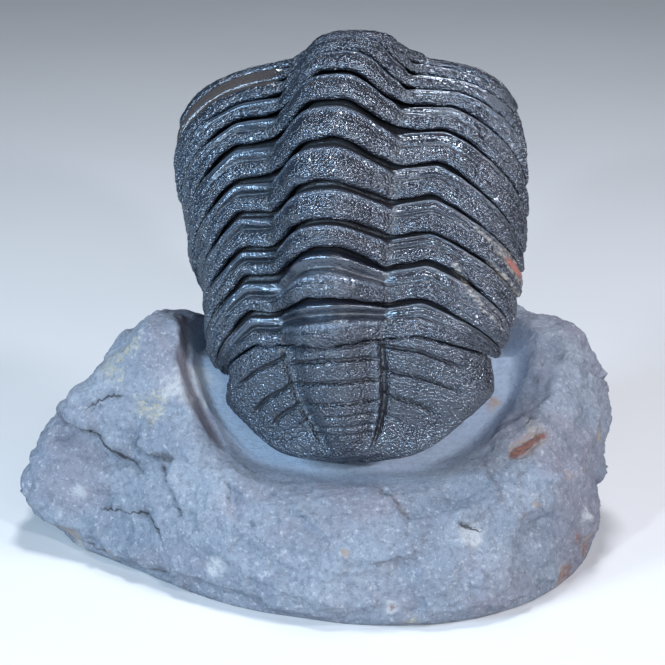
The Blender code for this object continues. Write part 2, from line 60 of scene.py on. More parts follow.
# Stations along the back: 0 is the tail tip, 1 the joint of tail and thorax, then one for each thorax
# plate from the rear, 12 the joint of thorax and head, and 13 the front of the head.
SEGMENTS = 11
NECK = SEGMENTS + 1
FRONT = NECK + 1
TAIL_LENGTH = 13.2
PLATE_LENGTHS = (4.7, 5.1, 2.8, 3.8, 4.7, 4.9, 4.2, 3.9, 4.1, 3.9, 4.1)
HEAD_LENGTH = 18.0
LENGTHS = (TAIL_LENGTH, *PLATE_LENGTHS, HEAD_LENGTH)
TAIL_TIP = (-14.9, 13.5)

# How far the back faces up: the angle of its outward direction above the horizontal, in degrees.
FACING = ((0, -26), (0.5, -9), (1, 4), (2, 20), (3, 34), (4, 32), (5, 35), (6, 47), (7, 55), (8, 66),
          (9, 79), (10, 92), (11, 107), (12, 123), (12.5, 158), (13, 177))

# The cross-section at a station: axis half width and height, outer edge and its drop, backward sweep.
AXIS_HALF = ((0, 1.6), (0.5, 3.9), (1, 4.8), (2, 6.0), (3, 5.85), (5, 6.45), (9, 6.6), (12, 6.3))
AXIS_HEIGHT = ((0, 0.6), (0.5, 2.0), (1, 2.7), (2, 3.7), (3, 4.05), (5, 4.1), (9, 3.9), (10, 3.6),
               (11, 2.8), (12, 1.8))
EDGE_HALF = ((0, 0.3), (0.12, 6.4), (0.3, 10.9), (0.6, 14.0), (1, 13.4), (2, 14.2), (3, 15.3), (4, 15.7),
             (5, 16.2), (7, 17.7), (9, 18.4), (11, 18.0), (12, 17.8), (12.5, 16.6), (12.85, 11.2),
             (13, 0.5))
EDGE_DROP = ((0, 0.1), (0.12, 0.5), (0.3, 3.1), (0.6, 6.7), (1, 8.9), (2, 9.1), (3, 10.9), (4, 11.7),
             (5, 13.2), (7, 14.2), (9, 12.1), (11, 10.6), (12, 9.0), (12.5, 7.7), (13, 0.2))
EDGE_SWEEP = ((0, 0.4), (1, 4.2), (2, 6.1), (4, 6.6), (6, 6.9), (8, 4.7), (10, 3.2), (12, 1.8), (13, 0.0))
RING_SWEEP = ((0, 0.1), (1, 0.3), (3, 1.1), (7, 1.2), (10, 1.0), (12, 0.5))
SIDEWAYS = ((0, 0.0), (8, 0.0), (10, -0.4), (12, -1.5), (13, -1.8))
TWIST = ((0, -3.9), (2, -1.3), (5, 0.4), (8, 2.8), (10, 3.9), (12, 5.8))

# How much wider the right and the left flank lie beyond their bends.
RIGHT_WIDER = ((0, 0.0), (0.6, 0.2), (1, 0.5), (2, 1.1), (4, 1.2), (6, 0.6), (8, 0.0))
LEFT_WIDER = ((0, 0.0), (7, 0.0), (9, 0.4), (12, 0.5), (13, 0.0))
BEND_AT = 0.68
INNER_SLOPE = 0.195
RING_FULLNESS = ((0, 1.6), (8, 1.6), (11, 2.1), (13, 2.1))

# Shares of the way from the midline (0) to the outer edge (1).
SHARE_AXIS = 0.4
SHARE_BEND = 0.68
SWEEP_FROM = 0.595
SWEEP_SOFT = 0.22
CORNER_SOFTNESS = 0.09

# How the whole body lies on the stone.
YAW = math.radians(-16.3)
LEAN = math.radians(-10.0)
LEAN_HEIGHT = 30.0
BODY_X = 4.8


def smooth(at, points):
    """A monotone cubic through (station, value) points."""
    xs = np.array([p[0] for p in points], float)
    ys = np.array([p[1] for p in points], float)
    steps = np.diff(xs)
    slopes = np.diff(ys) / steps
    tangents = np.zeros_like(xs)
    tangents[0], tangents[-1] = slopes[0], slopes[-1]
    for i in range(1, len(xs) - 1):
        if slopes[i - 1] * slopes[i] > 0:
            before = 2 * steps[i] + steps[i - 1]
            after = steps[i] + 2 * steps[i - 1]
            tangents[i] = (before + after) / (before / slopes[i - 1] + after / slopes[i])
    at = np.clip(at, xs[0], xs[-1])
    i = np.clip(np.searchsorted(xs, at, side="right") - 1, 0, len(xs) - 2)
    t = (at - xs[i]) / steps[i]
    return (
        (2 * t**3 - 3 * t**2 + 1) * ys[i]
        + (t**3 - 2 * t**2 + t) * steps[i] * tangents[i]
        + (3 * t**2 - 2 * t**3) * ys[i + 1]
        + (t**3 - t**2) * steps[i] * tangents[i + 1]
    )


def step(low, high, value):
    """0 below low, 1 above high, smooth between."""
    t = np.clip((value - low) / (high - low), 0, 1)
    return t * t * (3 - 2 * t)


def bump(value, centre, width):
    """1 at the centre, falling off like a bell on both sides."""
    return np.exp(-(((value - centre) / width) ** 2))


def walk_the_back():
    """Stations and the (y, z) places of the midline, walked from the tail tip."""
    count = 100 * FRONT
    stations = np.linspace(0, FRONT, count + 1)
    middles = (stations[1:] + stations[:-1]) / 2
    stride = np.array(LENGTHS)[middles.astype(int)] * FRONT / count
    facing = np.radians(smooth(middles, FACING))
    ys = TAIL_TIP[0] + np.concatenate(([0], np.cumsum(stride * np.sin(facing))))
    zs = TAIL_TIP[1] + np.concatenate(([0], np.cumsum(stride * np.cos(facing))))
    return stations, ys, zs


STATIONS, BACK_Y, BACK_Z = walk_the_back()


def section(q, u):
    """Sideways place and drop at station q, share u (0 to 1) of the way out, with its corners."""
    edge = smooth(q, EDGE_HALF)
    drop = smooth(q, EDGE_DROP)
    axis = np.minimum(smooth(q, AXIS_HALF), 0.45 * edge)
    height = np.minimum(smooth(q, AXIS_HEIGHT), 0.6 * drop)
    bend = BEND_AT * edge
    on_axis = np.clip(u / SHARE_AXIS, 0, 1)
    round_off = (1 - np.cos(math.pi * on_axis ** smooth(q, RING_FULLNESS))) / 2
    flat = np.clip((u - SHARE_AXIS) / (SHARE_BEND - SHARE_AXIS), 0, 1)
    turn = np.clip((u - SHARE_BEND) / (1 - SHARE_BEND), 0, 1) * math.pi / 2
    bend_drop = height + INNER_SLOPE * (bend - axis)
    x = axis * on_axis + (bend - axis) * flat + (edge - bend) * np.sin(turn) ** 0.9
    h = height * round_off + (bend_drop - height) * flat
    return x, h + (drop - bend_drop) * (1 - np.cos(turn)) ** 0.85


def rib(q, u):
    """Sideways place, drop and backward sweep at station q, share u (0 to 1) of the way out."""
    reach_out = CORNER_SOFTNESS * step(0.0, 0.2, 1 - u) * step(0.2, 0.4, u)
    before, here, after = section(q, u - reach_out), section(q, u), section(q, u + reach_out)
    x, h = [(a + b + c) / 3 for a, b, c in zip(before, here, after)]
    outward = np.clip((u - SWEEP_FROM) / (1 - SWEEP_FROM), 0, 1)
    outward = (1 + SWEEP_SOFT) * outward**2 / (outward + SWEEP_SOFT)
    on_axis = np.clip(u / SHARE_AXIS, 0, 1)
    ring_share = on_axis**2 * (1 - 0.6 * step(SHARE_AXIS - 0.05, SHARE_BEND + 0.1, u))
    return x, h, smooth(q, EDGE_SWEEP) * outward + smooth(q, RING_SWEEP) * ring_share


def to_world(p):
    """Leans and turns body points about the upright through the stone's middle."""
    lean = np.array(((math.cos(LEAN), 0, math.sin(LEAN)), (0, 1, 0), (-math.sin(LEAN), 0, math.cos(LEAN))))
    yaw = np.array(((math.cos(YAW), -math.sin(YAW), 0), (math.sin(YAW), math.cos(YAW), 0), (0, 0, 1)))
    pivot = np.array((0, 0, LEAN_HEIGHT))
    return (p - pivot) @ (yaw @ lean).T + pivot + np.array((BODY_X, 0, 0))


def back_surface(q, u):
    """The smooth surface of the back, before rings and furrows."""
    y, z = np.interp(q, STATIONS, BACK_Y), np.interp(q, STATIONS, BACK_Z)
    facing = np.radians(smooth(q, FACING))
    zero = np.zeros_like(facing)
    out = np.stack((zero, -np.cos(facing), np.sin(facing)), -1)
    ahead = np.stack((zero, np.sin(facing), np.cos(facing)), -1)
    x, h, sweep = rib(q, np.abs(u))
    wider = np.where(u > 0, smooth(q, RIGHT_WIDER), smooth(q, LEFT_WIDER))
    x = (x + wider * step(0.5, 1.0, np.abs(u))) * np.sign(u) + smooth(q, SIDEWAYS)
    twist = np.radians(smooth(q, TWIST))
    x, h = x * np.cos(twist) - h * np.sin(twist), h * np.cos(twist) + x * np.sin(twist)
    return to_world(np.stack((x, y, z), -1) - out * h[..., None] - ahead * sweep[..., None])


def outward(q, u):
    """The back's own normal at station q and share u."""
    at, across = np.clip(q, 0.06, FRONT - 0.06), np.clip(u, -0.97, 0.97)
    along = back_surface(at + 0.04, across) - back_surface(at - 0.04, across)
    sideways = back_surface(at, across + 0.02) - back_surface(at, across - 0.02)
    normal = np.cross(sideways, along)
    return normal / np.linalg.norm(normal, axis=-1, keepdims=True)


def scatter(cell, seed):
    """Three even numbers from 0 to 1 for each cell of space."""
    whole = cell.astype(np.uint64)
    mixed = whole[..., 0] * np.uint64(73856093) ^ whole[..., 1] * np.uint64(19349663)
    mixed = mixed ^ whole[..., 2] * np.uint64(83492791) ^ np.uint64(seed * 2654435761)
    mixed = (mixed ^ mixed >> np.uint64(15)) * np.uint64(2246822519)
    mixed = (mixed ^ mixed >> np.uint64(13)) * np.uint64(3266489917)
    mixed = mixed ^ mixed >> np.uint64(16)
    parts = [(mixed >> np.uint64(shift)) & np.uint64(1023) for shift in (0, 10, 20)]
    return np.stack(parts, -1).astype(float) / 1023


FAR_CELL = 100000


def grains(points, pitch, seed, roundness=0.62):
    """Height from 0 to 1 of domes packed through space, at points in millimetres."""
    scaled = points / pitch + FAR_CELL
    base = np.floor(scaled)
    nearest = np.full(points.shape[:-1], 9.0)
    size = np.ones(points.shape[:-1])
    for shift in np.ndindex(3, 3, 3):
        cell = base + np.array(shift) - 1
        place = scatter(cell, seed)
        distance = np.linalg.norm(scaled - cell - place, axis=-1)
        closer = distance < nearest
        nearest = np.where(closer, distance, nearest)
        size = np.where(closer, 0.4 + 0.6 * place[..., 0], size)
    return size * np.sqrt(np.clip(1 - (nearest / roundness) ** 2, 0, 1))


def facets(points, pitch, seed):
    """Heights of flat tilted faces that fill space, from about -1 to 1."""
    scaled = points / pitch + FAR_CELL
    base = np.floor(scaled)
    nearest = np.full(points.shape[:-1], 9.0)
    height = np.zeros(points.shape[:-1])
    for shift in np.ndindex(3, 3, 3):
        cell = base + np.array(shift) - 1
        away = scaled - cell - scatter(cell, seed)
        distance = np.linalg.norm(away, axis=-1)
        tilt = 2 * scatter(cell, seed + 1) - 1
        face = np.sum(away * tilt, axis=-1) * 1.2 + 0.4 * tilt[..., 0]
        height = np.where(distance < nearest, face, height)
        nearest = np.minimum(nearest, distance)
    return height


def waves(points, size, seed):
    """Even soft noise from -1 to 1."""
    scaled = points / size + FAR_CELL
    base = np.floor(scaled)
    part = scaled - base
    part = part * part * (3 - 2 * part)
    total = np.zeros(points.shape[:-1])
    for corner in np.ndindex(2, 2, 2):
        corner = np.array(corner)
        share = np.prod(np.where(corner == 1, part, 1 - part), axis=-1)
        total += share * scatter(base + corner, seed)[..., 0]
    return 2 * total - 1


def from_line(points, route):
    """Distance of points from a route of straight stretches, and the share of the way along it."""
    nearest = np.full(points.shape[:-1], 1e9)
    share = np.zeros(points.shape[:-1])
    route = np.array(route, float)
    count = len(route) - 1
    for index in range(count):
        start, run = route[index], route[index + 1] - route[index]
        t = np.clip(((points - start) @ run) / (run @ run), 0, 1)
        distance = np.linalg.norm(points - start - t[..., None] * run, axis=-1)
        share = np.where(distance < nearest, (index + t) / count, share)
        nearest = np.minimum(nearest, distance)
    return nearest, share


def across_line(points, route):
    """Distance from a route, the side of it in the view from the front, and the share of the way along."""
    distance, share = from_line(points, route)
    route = np.array(route, float)
    index = np.clip((share * (len(route) - 1)).astype(int), 0, len(route) - 2)
    run, away = route[index + 1] - route[index], points - route[index]
    side = np.sign(run[:, 0] * away[:, 2] - run[:, 2] * away[:, 0])
    return distance, side, share


def as_object(name, bm):
    """Turns a bmesh into a smooth-shaded object at the origin, its faces pointing out."""
    bmesh.ops.recalc_face_normals(bm, faces=bm.faces)
    if bm.calc_volume(signed=True) < 0:
        bmesh.ops.reverse_faces(bm, faces=bm.faces)
    mesh = bpy.data.meshes.new(name)
    bm.to_mesh(mesh)
    bm.free()
    mesh.shade_smooth()
    obj = bpy.data.objects.new(name, mesh)
    bpy.context.scene.collection.objects.link(obj)
    return obj


def hand_over(obj, node, finish):
    """Puts a finished piece on the body in place of its solid."""
    obj.data.materials.clear()
    obj.data.materials.append(finish)
    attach(obj, BODY)
    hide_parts(node)


# A thorax plate from front (s = 0) to rear edge (s = 1), reaching forward under the plate before it.
PLATE_THICK = 2.0
THINNER_AT_END = 0.55
RIM_THICK = 0.7
RIM_LOW = -0.3
FRONT_LOW = -1.1
FRONT_THICK = 0.35
HALF_RING_REACH = 1.35
OVERHANG = 1.45
OVERHANG_LOW = -0.85
REAR_EDGE_LOW = -0.65
STEP_BACK = 1.75

# The half ring that slides under the next ring shows where a joint is open; its share of the length.
HALF_RING = 0.1
OPEN_HALF_RINGS = {10: 0.38, 11: 0.34}
HALF_RING_FURROW = -0.95
RING_REAR = ((0.75, 0.24), (0.88, 0.14), (0.96, -0.05), (1.0, -0.4))

# The flank rib from front to rear: a smooth front band, the furrow behind it, and the broad rear band. On
# the right the front band is a thin ridge with lower ones behind it.
PLEURA = ((0.0, FRONT_LOW), (0.09, -1.05), (0.16, -0.6), (0.24, -0.24), (0.33, -0.26), (0.42, -0.52),
          (0.49, -0.85), (0.55, -0.66), (0.61, -0.24), (0.7, 0.06), (0.8, 0.12), (0.93, -0.02), (1.0, -0.4))
RIGHT_PLEURA = ((0.0, FRONT_LOW), (0.07, -0.9), (0.12, -0.38), (0.16, -0.3), (0.21, -0.46), (0.29, -0.4),
                (0.35, -0.3), (0.41, -0.42), (0.47, -0.5), (0.53, -0.3), (0.6, -0.14), (0.66, -0.12),
                (0.75, 0.04), (0.86, 0.06), (0.94, -0.06), (1.0, -0.4))

# Out beyond the bend the bands lie flatter and closer.
OUTER_PLEURA = ((0.0, -0.68), (0.04, -0.42), (0.08, -0.08), (0.17, -0.24), (0.25, 0.0), (0.33, -0.16),
                (0.41, 0.04), (0.5, -0.12), (0.6, 0.08), (0.68, -0.03), (0.76, 0.1), (0.94, 0.0),
                (1.0, -0.36))

# Two plates have one plain broad band on the left.
PLAIN_RIB = ((0.0, FRONT_LOW), (0.08, -0.5), (0.2, -0.15), (0.5, 0.1), (0.85, 0.08), (0.94, -0.05),
             (1.0, -0.4))
PLAIN_PLATES = (2, 3)

AXIAL_FURROW = 0.3
AXIAL_FURROW_WIDTH = 0.04
EDGE_WAVER = 0.11
LINE_HEIGHT = 0.05
LINE_PITCH = 0.48

# The outer end of a plate is drawn in around this point of its length and thickness.
TIP_ROUND = 0.055
TIP_EDGE = 0.03
TIP_MIDDLE = 0.35
TIP_MIDDLE_LOW = -0.9

# Columns stand closer where the section turns: shares of the columns, and the share of the way out there.
COLUMN_SHARES = (0, 0.3, 0.5, 1.0)
COLUMN_PLACES = (0, SHARE_AXIS, SHARE_BEND, 1.0)
TOP_END = 0.94

# The rounded rear edge and the inner side, as (share, height) points.
REAR_EDGE = ((0.965, -0.04), (0.985, -0.14), (0.997, -0.27), (1.0, -0.4), (0.995, -0.53), (0.98, -0.63))


def all_columns(count):
    """Shares across a plate, evenly spaced along its section."""
    t = np.linspace(-1, 1, 2 * count + 1)
    return np.sign(t) * np.interp(np.abs(t), COLUMN_SHARES, COLUMN_PLACES)


def ring_height(s, number):
    """Height of the axial ring over the back: hidden front, articulating half ring, furrow, ring."""
    half = OPEN_HALF_RINGS.get(number, HALF_RING)
    crest = FRONT_LOW + 2.5 * (half - HALF_RING)
    rows = ((0.0, FRONT_LOW), (half * 0.5, crest), (half, HALF_RING_FURROW), (half + 0.17, -0.12),
            (half + 0.24, 0.05), (half + 0.32, 0.0))
    return smooth(s, rows + RING_REAR)


def plate_height(s, u, number):
    """Ring on the axis, rib on the flank, and the furrow between them."""
    out = np.abs(u)
    share = step(SHARE_AXIS - 0.06, SHARE_AXIS + 0.06, out)
    furrow = AXIAL_FURROW * bump(out, SHARE_AXIS, AXIAL_FURROW_WIDTH)
    beyond = step(SHARE_BEND - 0.04, SHARE_BEND + 0.18, out)
    inner = np.where(u < 0, smooth(s, PLEURA), smooth(s, RIGHT_PLEURA))
    taper = 1 - 0.35 * bump(s, 0.24, 0.1) * (u < 0) * (bump(out, SHARE_AXIS, 0.08) + bump(out, 0.72, 0.07))
    inner = (inner + 0.9) * taper - 0.9
    flank = inner * (1 - beyond) + smooth(s, OUTER_PLEURA) * beyond
    if number in PLAIN_PLATES:
        plain = step(0.42, 0.5, -u)
        flank = flank * (1 - plain) + smooth(s, PLAIN_RIB) * plain
    return ring_height(s, number) * (1 - share) + flank * share - furrow


def waver(u, number):
    """How far the rear edge of a plate strays from its even line, in millimetres."""
    slow, fast = np.sin(11 * u + 2.1 * number), np.sin(23 * u + number)
    return EDGE_WAVER * (slow + 0.6 * fast + 0.4 * np.sin(41 * u + 3 * number))


def fine_lines(s, u, number):
    """Low parallel lines along a plate: on the rear of the rings, and on the flanks and their ends."""
    out = np.abs(u)
    flank = step(SHARE_AXIS, SHARE_AXIS + 0.04, out)
    where = step(0.55, 0.65, s) * (0.3 + 0.7 * step(-0.1, 0.1, u)) * (1 - flank)
    where = where + flank * np.where(u < 0, 0.6, 1.0) * step(0.12, 0.2, s) * (1 - step(0.85, 0.93, s))
    bend = 1.6 * np.sin(9 * u + number) + 0.8 * np.sin(23 * u + 2 * number)
    return LINE_HEIGHT * where * np.cos(2 * math.pi * s * LENGTHS[NECK - number] / LINE_PITCH + bend)


def station(s, rear):
    """Station of share s of the plate whose rear edge is at rear; ahead of its front it keeps its scale."""
    own, before = LENGTHS[rear], LENGTHS[rear + 1]
    return rear + 1 - np.where(s < 0, s * own / before, s)


def reach(u):
    """How far a plate goes on under the plate before it; not at all at its outer end."""
    return HALF_RING_REACH * (1 - 0.9 * step(0.78, 0.96, np.abs(u)))


def thick(u):
    """Depth of a plate's inner side below the back; the plates thin out towards their ends."""
    return PLATE_THICK - THINNER_AT_END * step(0.75, 0.92, np.abs(u))


def draw_in(u, round_share):
    """1 over a plate, falling round to 0 at its outer end."""
    tip = np.clip((np.abs(u) - (1 - round_share)) / round_share, 0, 1)
    return np.sqrt(np.clip(1 - tip * tip, 0, 1))


def shell_piece(name, node, stations, shares, heights, looks, finish):
    """A closed plate from grids [column][row] whose rows run once round its section."""
    base = back_surface(stations, shares)
    normal = outward(stations, shares)
    settings = bpy.context.scene.fossil_shell
    points = base + normal * heights[..., None]
    rough = looks["grain"]
    grain = grains(points, settings.grain_pitch / MM, seed=3)
    patchy = 0.8 + 0.5 * waves(points, 2.4, seed=12)
    relief = settings.grain_height / MM * rough * patchy * (grain - 0.4)
    relief = relief + settings.swell_height / MM * (0.35 + 0.65 * rough) * waves(points, 1.1, seed=8)
    relief = relief * looks.pop("outside")
    points = points + normal * relief[..., None]
    for key in ("rim", "worn", "stain", "brown"):
        looks.setdefault(key, np.zeros_like(rough))
    columns, rows = stations.shape
    bm = bmesh.new()
    layers = {key: bm.verts.layers.float.new(key) for key in looks}
    bmesh.ops.create_grid(bm, x_segments=columns - 1, y_segments=rows, size=1.0)
    placed = sorted(bm.verts, key=lambda v: (round(v.co.x, 6), round(v.co.y, 6)))
    for index, vert in enumerate(placed):
        column, row = divmod(index, rows + 1)
        vert.co = Vector(points[column, row % rows]) * MM
        for key, layer in layers.items():
            vert[layer] = looks[key][column, row % rows]
    seam = {placed[column * (rows + 1) + rows]: placed[column * (rows + 1)] for column in range(columns)}
    ends = [placed[: rows + 1], placed[-rows - 1 :]]
    for end in ends:
        seam.update({vert: end[0] for vert in end[1:]})
    bmesh.ops.weld_verts(bm, targetmap=seam)
    bmesh.ops.dissolve_degenerate(bm, edges=bm.edges, dist=1e-8)
    hand_over(as_object(name, bm), node, finish)


# Where the plates are worn or stained, as (station, share) routes with a half width in millimetres.
WORN_ROUTES = (
    (((3.2, 0.72), (3.0, 0.76), (2.85, 0.79), (2.6, 0.84), (2.6, 0.92)), 0.28),
    (((4.75, 0.79), (4.66, 0.85), (4.6, 0.92)), 0.3),
    (((4.02, 0.85), (4.02, 0.92), (4.1, 0.99)), 0.35),
    (((4.75, 0.985), (4.4, 0.99)), 0.4),
)
STAIN_ROUTE = ((4.6, 0.92), (4.68, 0.94))
STAIN_HALF = 0.6
ROUTE_SCALE = (4.3, 16.0)

# The second and third plates are smooth and brown on the left, from this rear to this front station.
BROWN_BAND = (9.42, 10.9)


def wear_plate(looks, q, u):
    """Adds the worn, stained and brown places of the plates to what the materials read."""
    places = np.stack(np.broadcast_arrays(q, u), -1) * ROUTE_SCALE
    worn = np.zeros_like(q)
    for route, half in WORN_ROUTES:
        distance = from_line(places, np.array(route) * ROUTE_SCALE)[0]
        worn = np.maximum(worn, 1 - step(0.4 * half, 1.5 * half, distance))
    distance = from_line(places, np.array(STAIN_ROUTE) * ROUTE_SCALE)[0]
    low, high = BROWN_BAND
    brown = step(low, low + 0.1, q) * (1 - step(high, high + 0.1, q))
    brown = brown * step(0.42, 0.5, -u) * (1 - step(0.93, 0.98, -u))
    looks["stain"] = 1 - step(0.5 * STAIN_HALF, 1.2 * STAIN_HALF, distance)
    looks["worn"] = np.maximum(worn, bump(distance, 1.5 * STAIN_HALF, 0.35))
    looks["brown"] = brown
    looks["grain"] = looks["grain"] * (1 - 0.85 * brown) * (1 - 0.5 * looks["stain"])


def grow_thorax_plate(number, finish):
    """Plate number 1 sits behind the head and number 11 before the tail."""
    settings = bpy.context.scene.fossil_shell
    rear = NECK - number
    length = LENGTHS[rear]
    u = all_columns(settings.columns)[:, None]
    tops = np.linspace(0, TOP_END, settings.rows)
    edge_s, edge_n = np.array(REAR_EDGE).T
    behind = np.array([(1 - OVERHANG / length * part, REAR_EDGE_LOW + (OVERHANG_LOW - REAR_EDGE_LOW) * part)
                       for part in (0.35, 0.7, 1.0)])
    inner_s = np.linspace(1 - STEP_BACK / length, 0, 5)
    top_n = plate_height(tops, u, number) + fine_lines(tops, u, number)
    rim_drop = plate_height(np.array(TOP_END), u, number) + 0.02
    wide = np.ones_like(u)
    front_s = -reach(u) / length
    s = np.concatenate((front_s, front_s * 0.5, tops * wide, edge_s * wide, behind[:, 0] * wide,
                        inner_s * wide, front_s), axis=1)
    n = np.concatenate((
        FRONT_THICK - thick(u),
        (FRONT_THICK - thick(u) + FRONT_LOW) / 2,
        top_n,
        edge_n + np.minimum(rim_drop, 0) * np.array((1, 0.7, 0.4, 0.1, 0, 0)),
        behind[:, 1] * wide,
        -thick(u) * np.ones_like(inner_s),
        -thick(u),
    ), axis=1)
    outside = np.zeros_like(s)
    outside[:, 2 : 2 + len(tops) + 4] = 1
    flank = step(SHARE_AXIS - 0.02, SHARE_AXIS + 0.03, np.abs(u))
    half = OPEN_HALF_RINGS.get(number, HALF_RING)
    inner = 1 - step(SHARE_BEND, SHARE_BEND + 0.15, np.abs(u))
    band = step(0.46, 0.6, s) * flank + step(half + 0.12, half + 0.3, s) * (1 - flank)
    band = 1 - (1 - band) * (1 - 0.75 * flank * (1 - inner))
    # The furrow mark is painted shade: it blackens the pleural furrow, the axial furrow and the low front
    # of each plate, where the plate before it shades it.
    furrow = bump(s, 0.48, 0.06) * flank * inner * (1 - 0.6 * (u > 0))
    furrow = furrow + 0.5 * bump(np.abs(u), SHARE_AXIS, 0.04) * step(0, 0.2, s)
    on_ring = 1 - step(half - 0.02, half + 0.14, s)
    if number in OPEN_HALF_RINGS:
        on_ring = np.maximum(1 - step(0.0, 0.06, s), bump(s, half, 0.05))
    hidden = on_ring * (1 - flank) + (1 - step(0.08, 0.2, s)) * flank
    furrow = np.maximum(furrow, hidden)
    # The ridge mark is a painted highlight along the front ridge of each rib and across each ring.
    ridge = np.where(u < 0, bump(s, 0.26, 0.08), bump(s, 0.15, 0.03)) * flank
    ridge = ridge * inner + bump(s, half + 0.24, 0.07) * (1 - flank)
    s = TIP_MIDDLE + (s - TIP_MIDDLE) * (0.45 + 0.55 * draw_in(u, TIP_ROUND))
    n = TIP_MIDDLE_LOW + (n - TIP_MIDDLE_LOW) * (0.55 + 0.45 * draw_in(u, TIP_ROUND))
    close = draw_in(u, TIP_EDGE * 0.4)
    s = TIP_MIDDLE + (s - TIP_MIDDLE) * close
    n = TIP_MIDDLE_LOW + (n - TIP_MIDDLE_LOW) * close
    looks = {
        "outside": outside,
        "grain": np.clip(0.12 + 0.88 * band, 0, 1),
        "furrow": np.clip(furrow, 0, 1),
        "ridge": ridge,
        "rim": bump(s, 0.17, 0.035) * (flank if number in OPEN_HALF_RINGS else np.ones_like(u)),
        "side": u * np.ones_like(s),
    }
    q = station(s, rear) + waver(u, number) * step(0.4, 1.0, s) / length
    wear_plate(looks, q, u)
    looks["furrow"] = looks["furrow"] * (1 - looks["brown"])
    name, node = f"thorax_plate_{number:02d}", f"thoracic_segment_{number:02d}"
    shell_piece(name, node, q, u * np.ones_like(s), n, looks, finish)


# The tail shield: rings on the axis and ribs on the flanks, all fused. Its rows are stations.
TAIL_RINGS = (0.85, 0.68, 0.51, 0.4, 0.31, 0.24)
TAIL_RING_SAG = 0.05
TAIL_FURROW = 0.62
TAIL_FURROW_WIDTH = 0.022

# Furrows between the tail's ribs: station at the axis, slant, and the share of the way out they end at.
LEFT_RIBS = ((0.92, 0.62, 0.8), (0.69, 0.82, 0.79), (0.51, 0.72, 0.76), (0.36, 0.6, 0.6))
RIGHT_RIBS = ((0.96, 0.4, 0.84), (0.77, 0.58, 0.82), (0.57, 0.66, 0.76), (0.4, 0.6, 0.6))
RIB_FURROW = 0.6
RIB_FURROW_WIDTH = 0.013
RIB_SWELL = 0.22
UPPER_EDGE = 14
LOWER_EDGE = 10
TAIL_ROWS = 96
TAIL_LOW_ROWS = 14
TAIL_HEART = 0.55
RIM_MIDDLE = (RIM_LOW - RIM_THICK) / 2


def tail_furrows(q, u):
    """How near a place is to a furrow between two rings or ribs, from 0 to 1, and to the axial furrows."""
    out = np.abs(u)
    on_axis = 1 - step(SHARE_AXIS - 0.03, SHARE_AXIS, out)
    off_axis = step(SHARE_AXIS, SHARE_AXIS + 0.03, out)
    between = np.zeros(np.broadcast(q, u).shape)
    for place in TAIL_RINGS:
        line = place + TAIL_RING_SAG * (1 - (out / SHARE_AXIS) ** 2)
        deep = 0.35 + 0.65 * step(0.3, 0.6, place)
        between = between + bump(q, line, RIB_FURROW_WIDTH) * on_axis * deep
    for side, ribs in ((-1, LEFT_RIBS), (1, RIGHT_RIBS)):
        for start, slant, end in ribs:
            here = (u * side > SHARE_AXIS) * (1 - step(end - 0.1, end, out)) * off_axis
            line = start - slant * (out - SHARE_AXIS)
            deep = 0.4 + 0.6 * step(0.3, 0.6, start)
            between = between + bump(q, line, RIB_FURROW_WIDTH) * here * deep
    beside = bump(out, SHARE_AXIS + 0.015, TAIL_FURROW_WIDTH) * step(0.06, 0.3, q)
    return np.clip(between, 0, 1), beside


def tail_height(q, u):
    """Rings, ribs and the furrows beside the axis; all fade towards the plain border."""
    between, beside = tail_furrows(q, u)
    out = np.abs(u)
    swell = RIB_SWELL * (0.4 + 0.6 * step(0.2, 0.6, q)) * (1 - step(0.8, 0.95, out))
    edge = 0.12 * bump(out, SHARE_AXIS - 0.03, 0.015) * step(0.1, 0.3, q)
    return swell - RIB_FURROW * between - TAIL_FURROW * beside + edge


def edge_fade(u, sharpness):
    """1 over a shield, falling to a quarter at its outer edge."""
    return np.sqrt(np.maximum(0.06, 1 - np.abs(u) ** sharpness))


def grow_tail(finish):
    """The tail shield, from its joint to the tip and back along its inner side."""
    settings = bpy.context.scene.fossil_shell
    u = all_columns(settings.columns)[:, None]
    wide = np.ones_like(u)
    rows = np.concatenate((np.linspace(0.97, 0.06, TAIL_ROWS), (0.045, 0.03, 0.02, 0.013)))
    low_rows = np.concatenate(((0.012, 0.02, 0.03), np.linspace(0.06, 0.9, TAIL_LOW_ROWS)))
    ahead = 1 + reach(u) / LENGTHS[1]
    fade = step(0.0, 0.1, rows) * edge_fade(u, UPPER_EDGE)
    top_n = tail_height(rows, u) * fade + RIM_LOW * (1 - fade)
    low_fade = step(0.0, 0.14, low_rows) * edge_fade(u, LOWER_EDGE)
    low_n = -RIM_THICK - (thick(u) - RIM_THICK) * low_fade
    q = np.concatenate((ahead, wide, rows * wide, low_rows * wide, ahead), axis=1)
    n = np.concatenate((FRONT_THICK - thick(u), FRONT_LOW * wide, top_n, low_n, -thick(u)), axis=1)
    n = RIM_MIDDLE + (n - RIM_MIDDLE) * draw_in(u, 0.02)
    q = TAIL_HEART + (q - TAIL_HEART) * (0.4 + 0.6 * draw_in(u, 0.01))
    outside = np.zeros_like(q)
    outside[:, 2 : 2 + len(rows)] = 1
    border = step(0.88, 0.97, np.abs(u)) * wide
    between, beside = tail_furrows(q, u)
    # The furrow mark is painted shade in the furrows between the tail's rings and ribs and beside its axis.
    furrow = np.clip(between + beside, 0, 1)
    looks = {
        "outside": outside,
        "grain": np.clip(1 - 0.4 * border - 0.6 * furrow, 0, 1),
        "furrow": furrow,
        # The ridge mark is a painted highlight along the edges of the axis.
        "ridge": bump(np.abs(u), SHARE_AXIS - 0.03, 0.012) * step(0.1, 0.3, q),
        "side": u * np.ones_like(q),
    }
    q[0], q[-1] = TAIL_HEART, TAIL_HEART
    n[0], n[-1] = RIM_MIDDLE, RIM_MIDDLE
    shell_piece("tail_shield", "pygidium", q, u * np.ones_like(q), n, looks, finish)


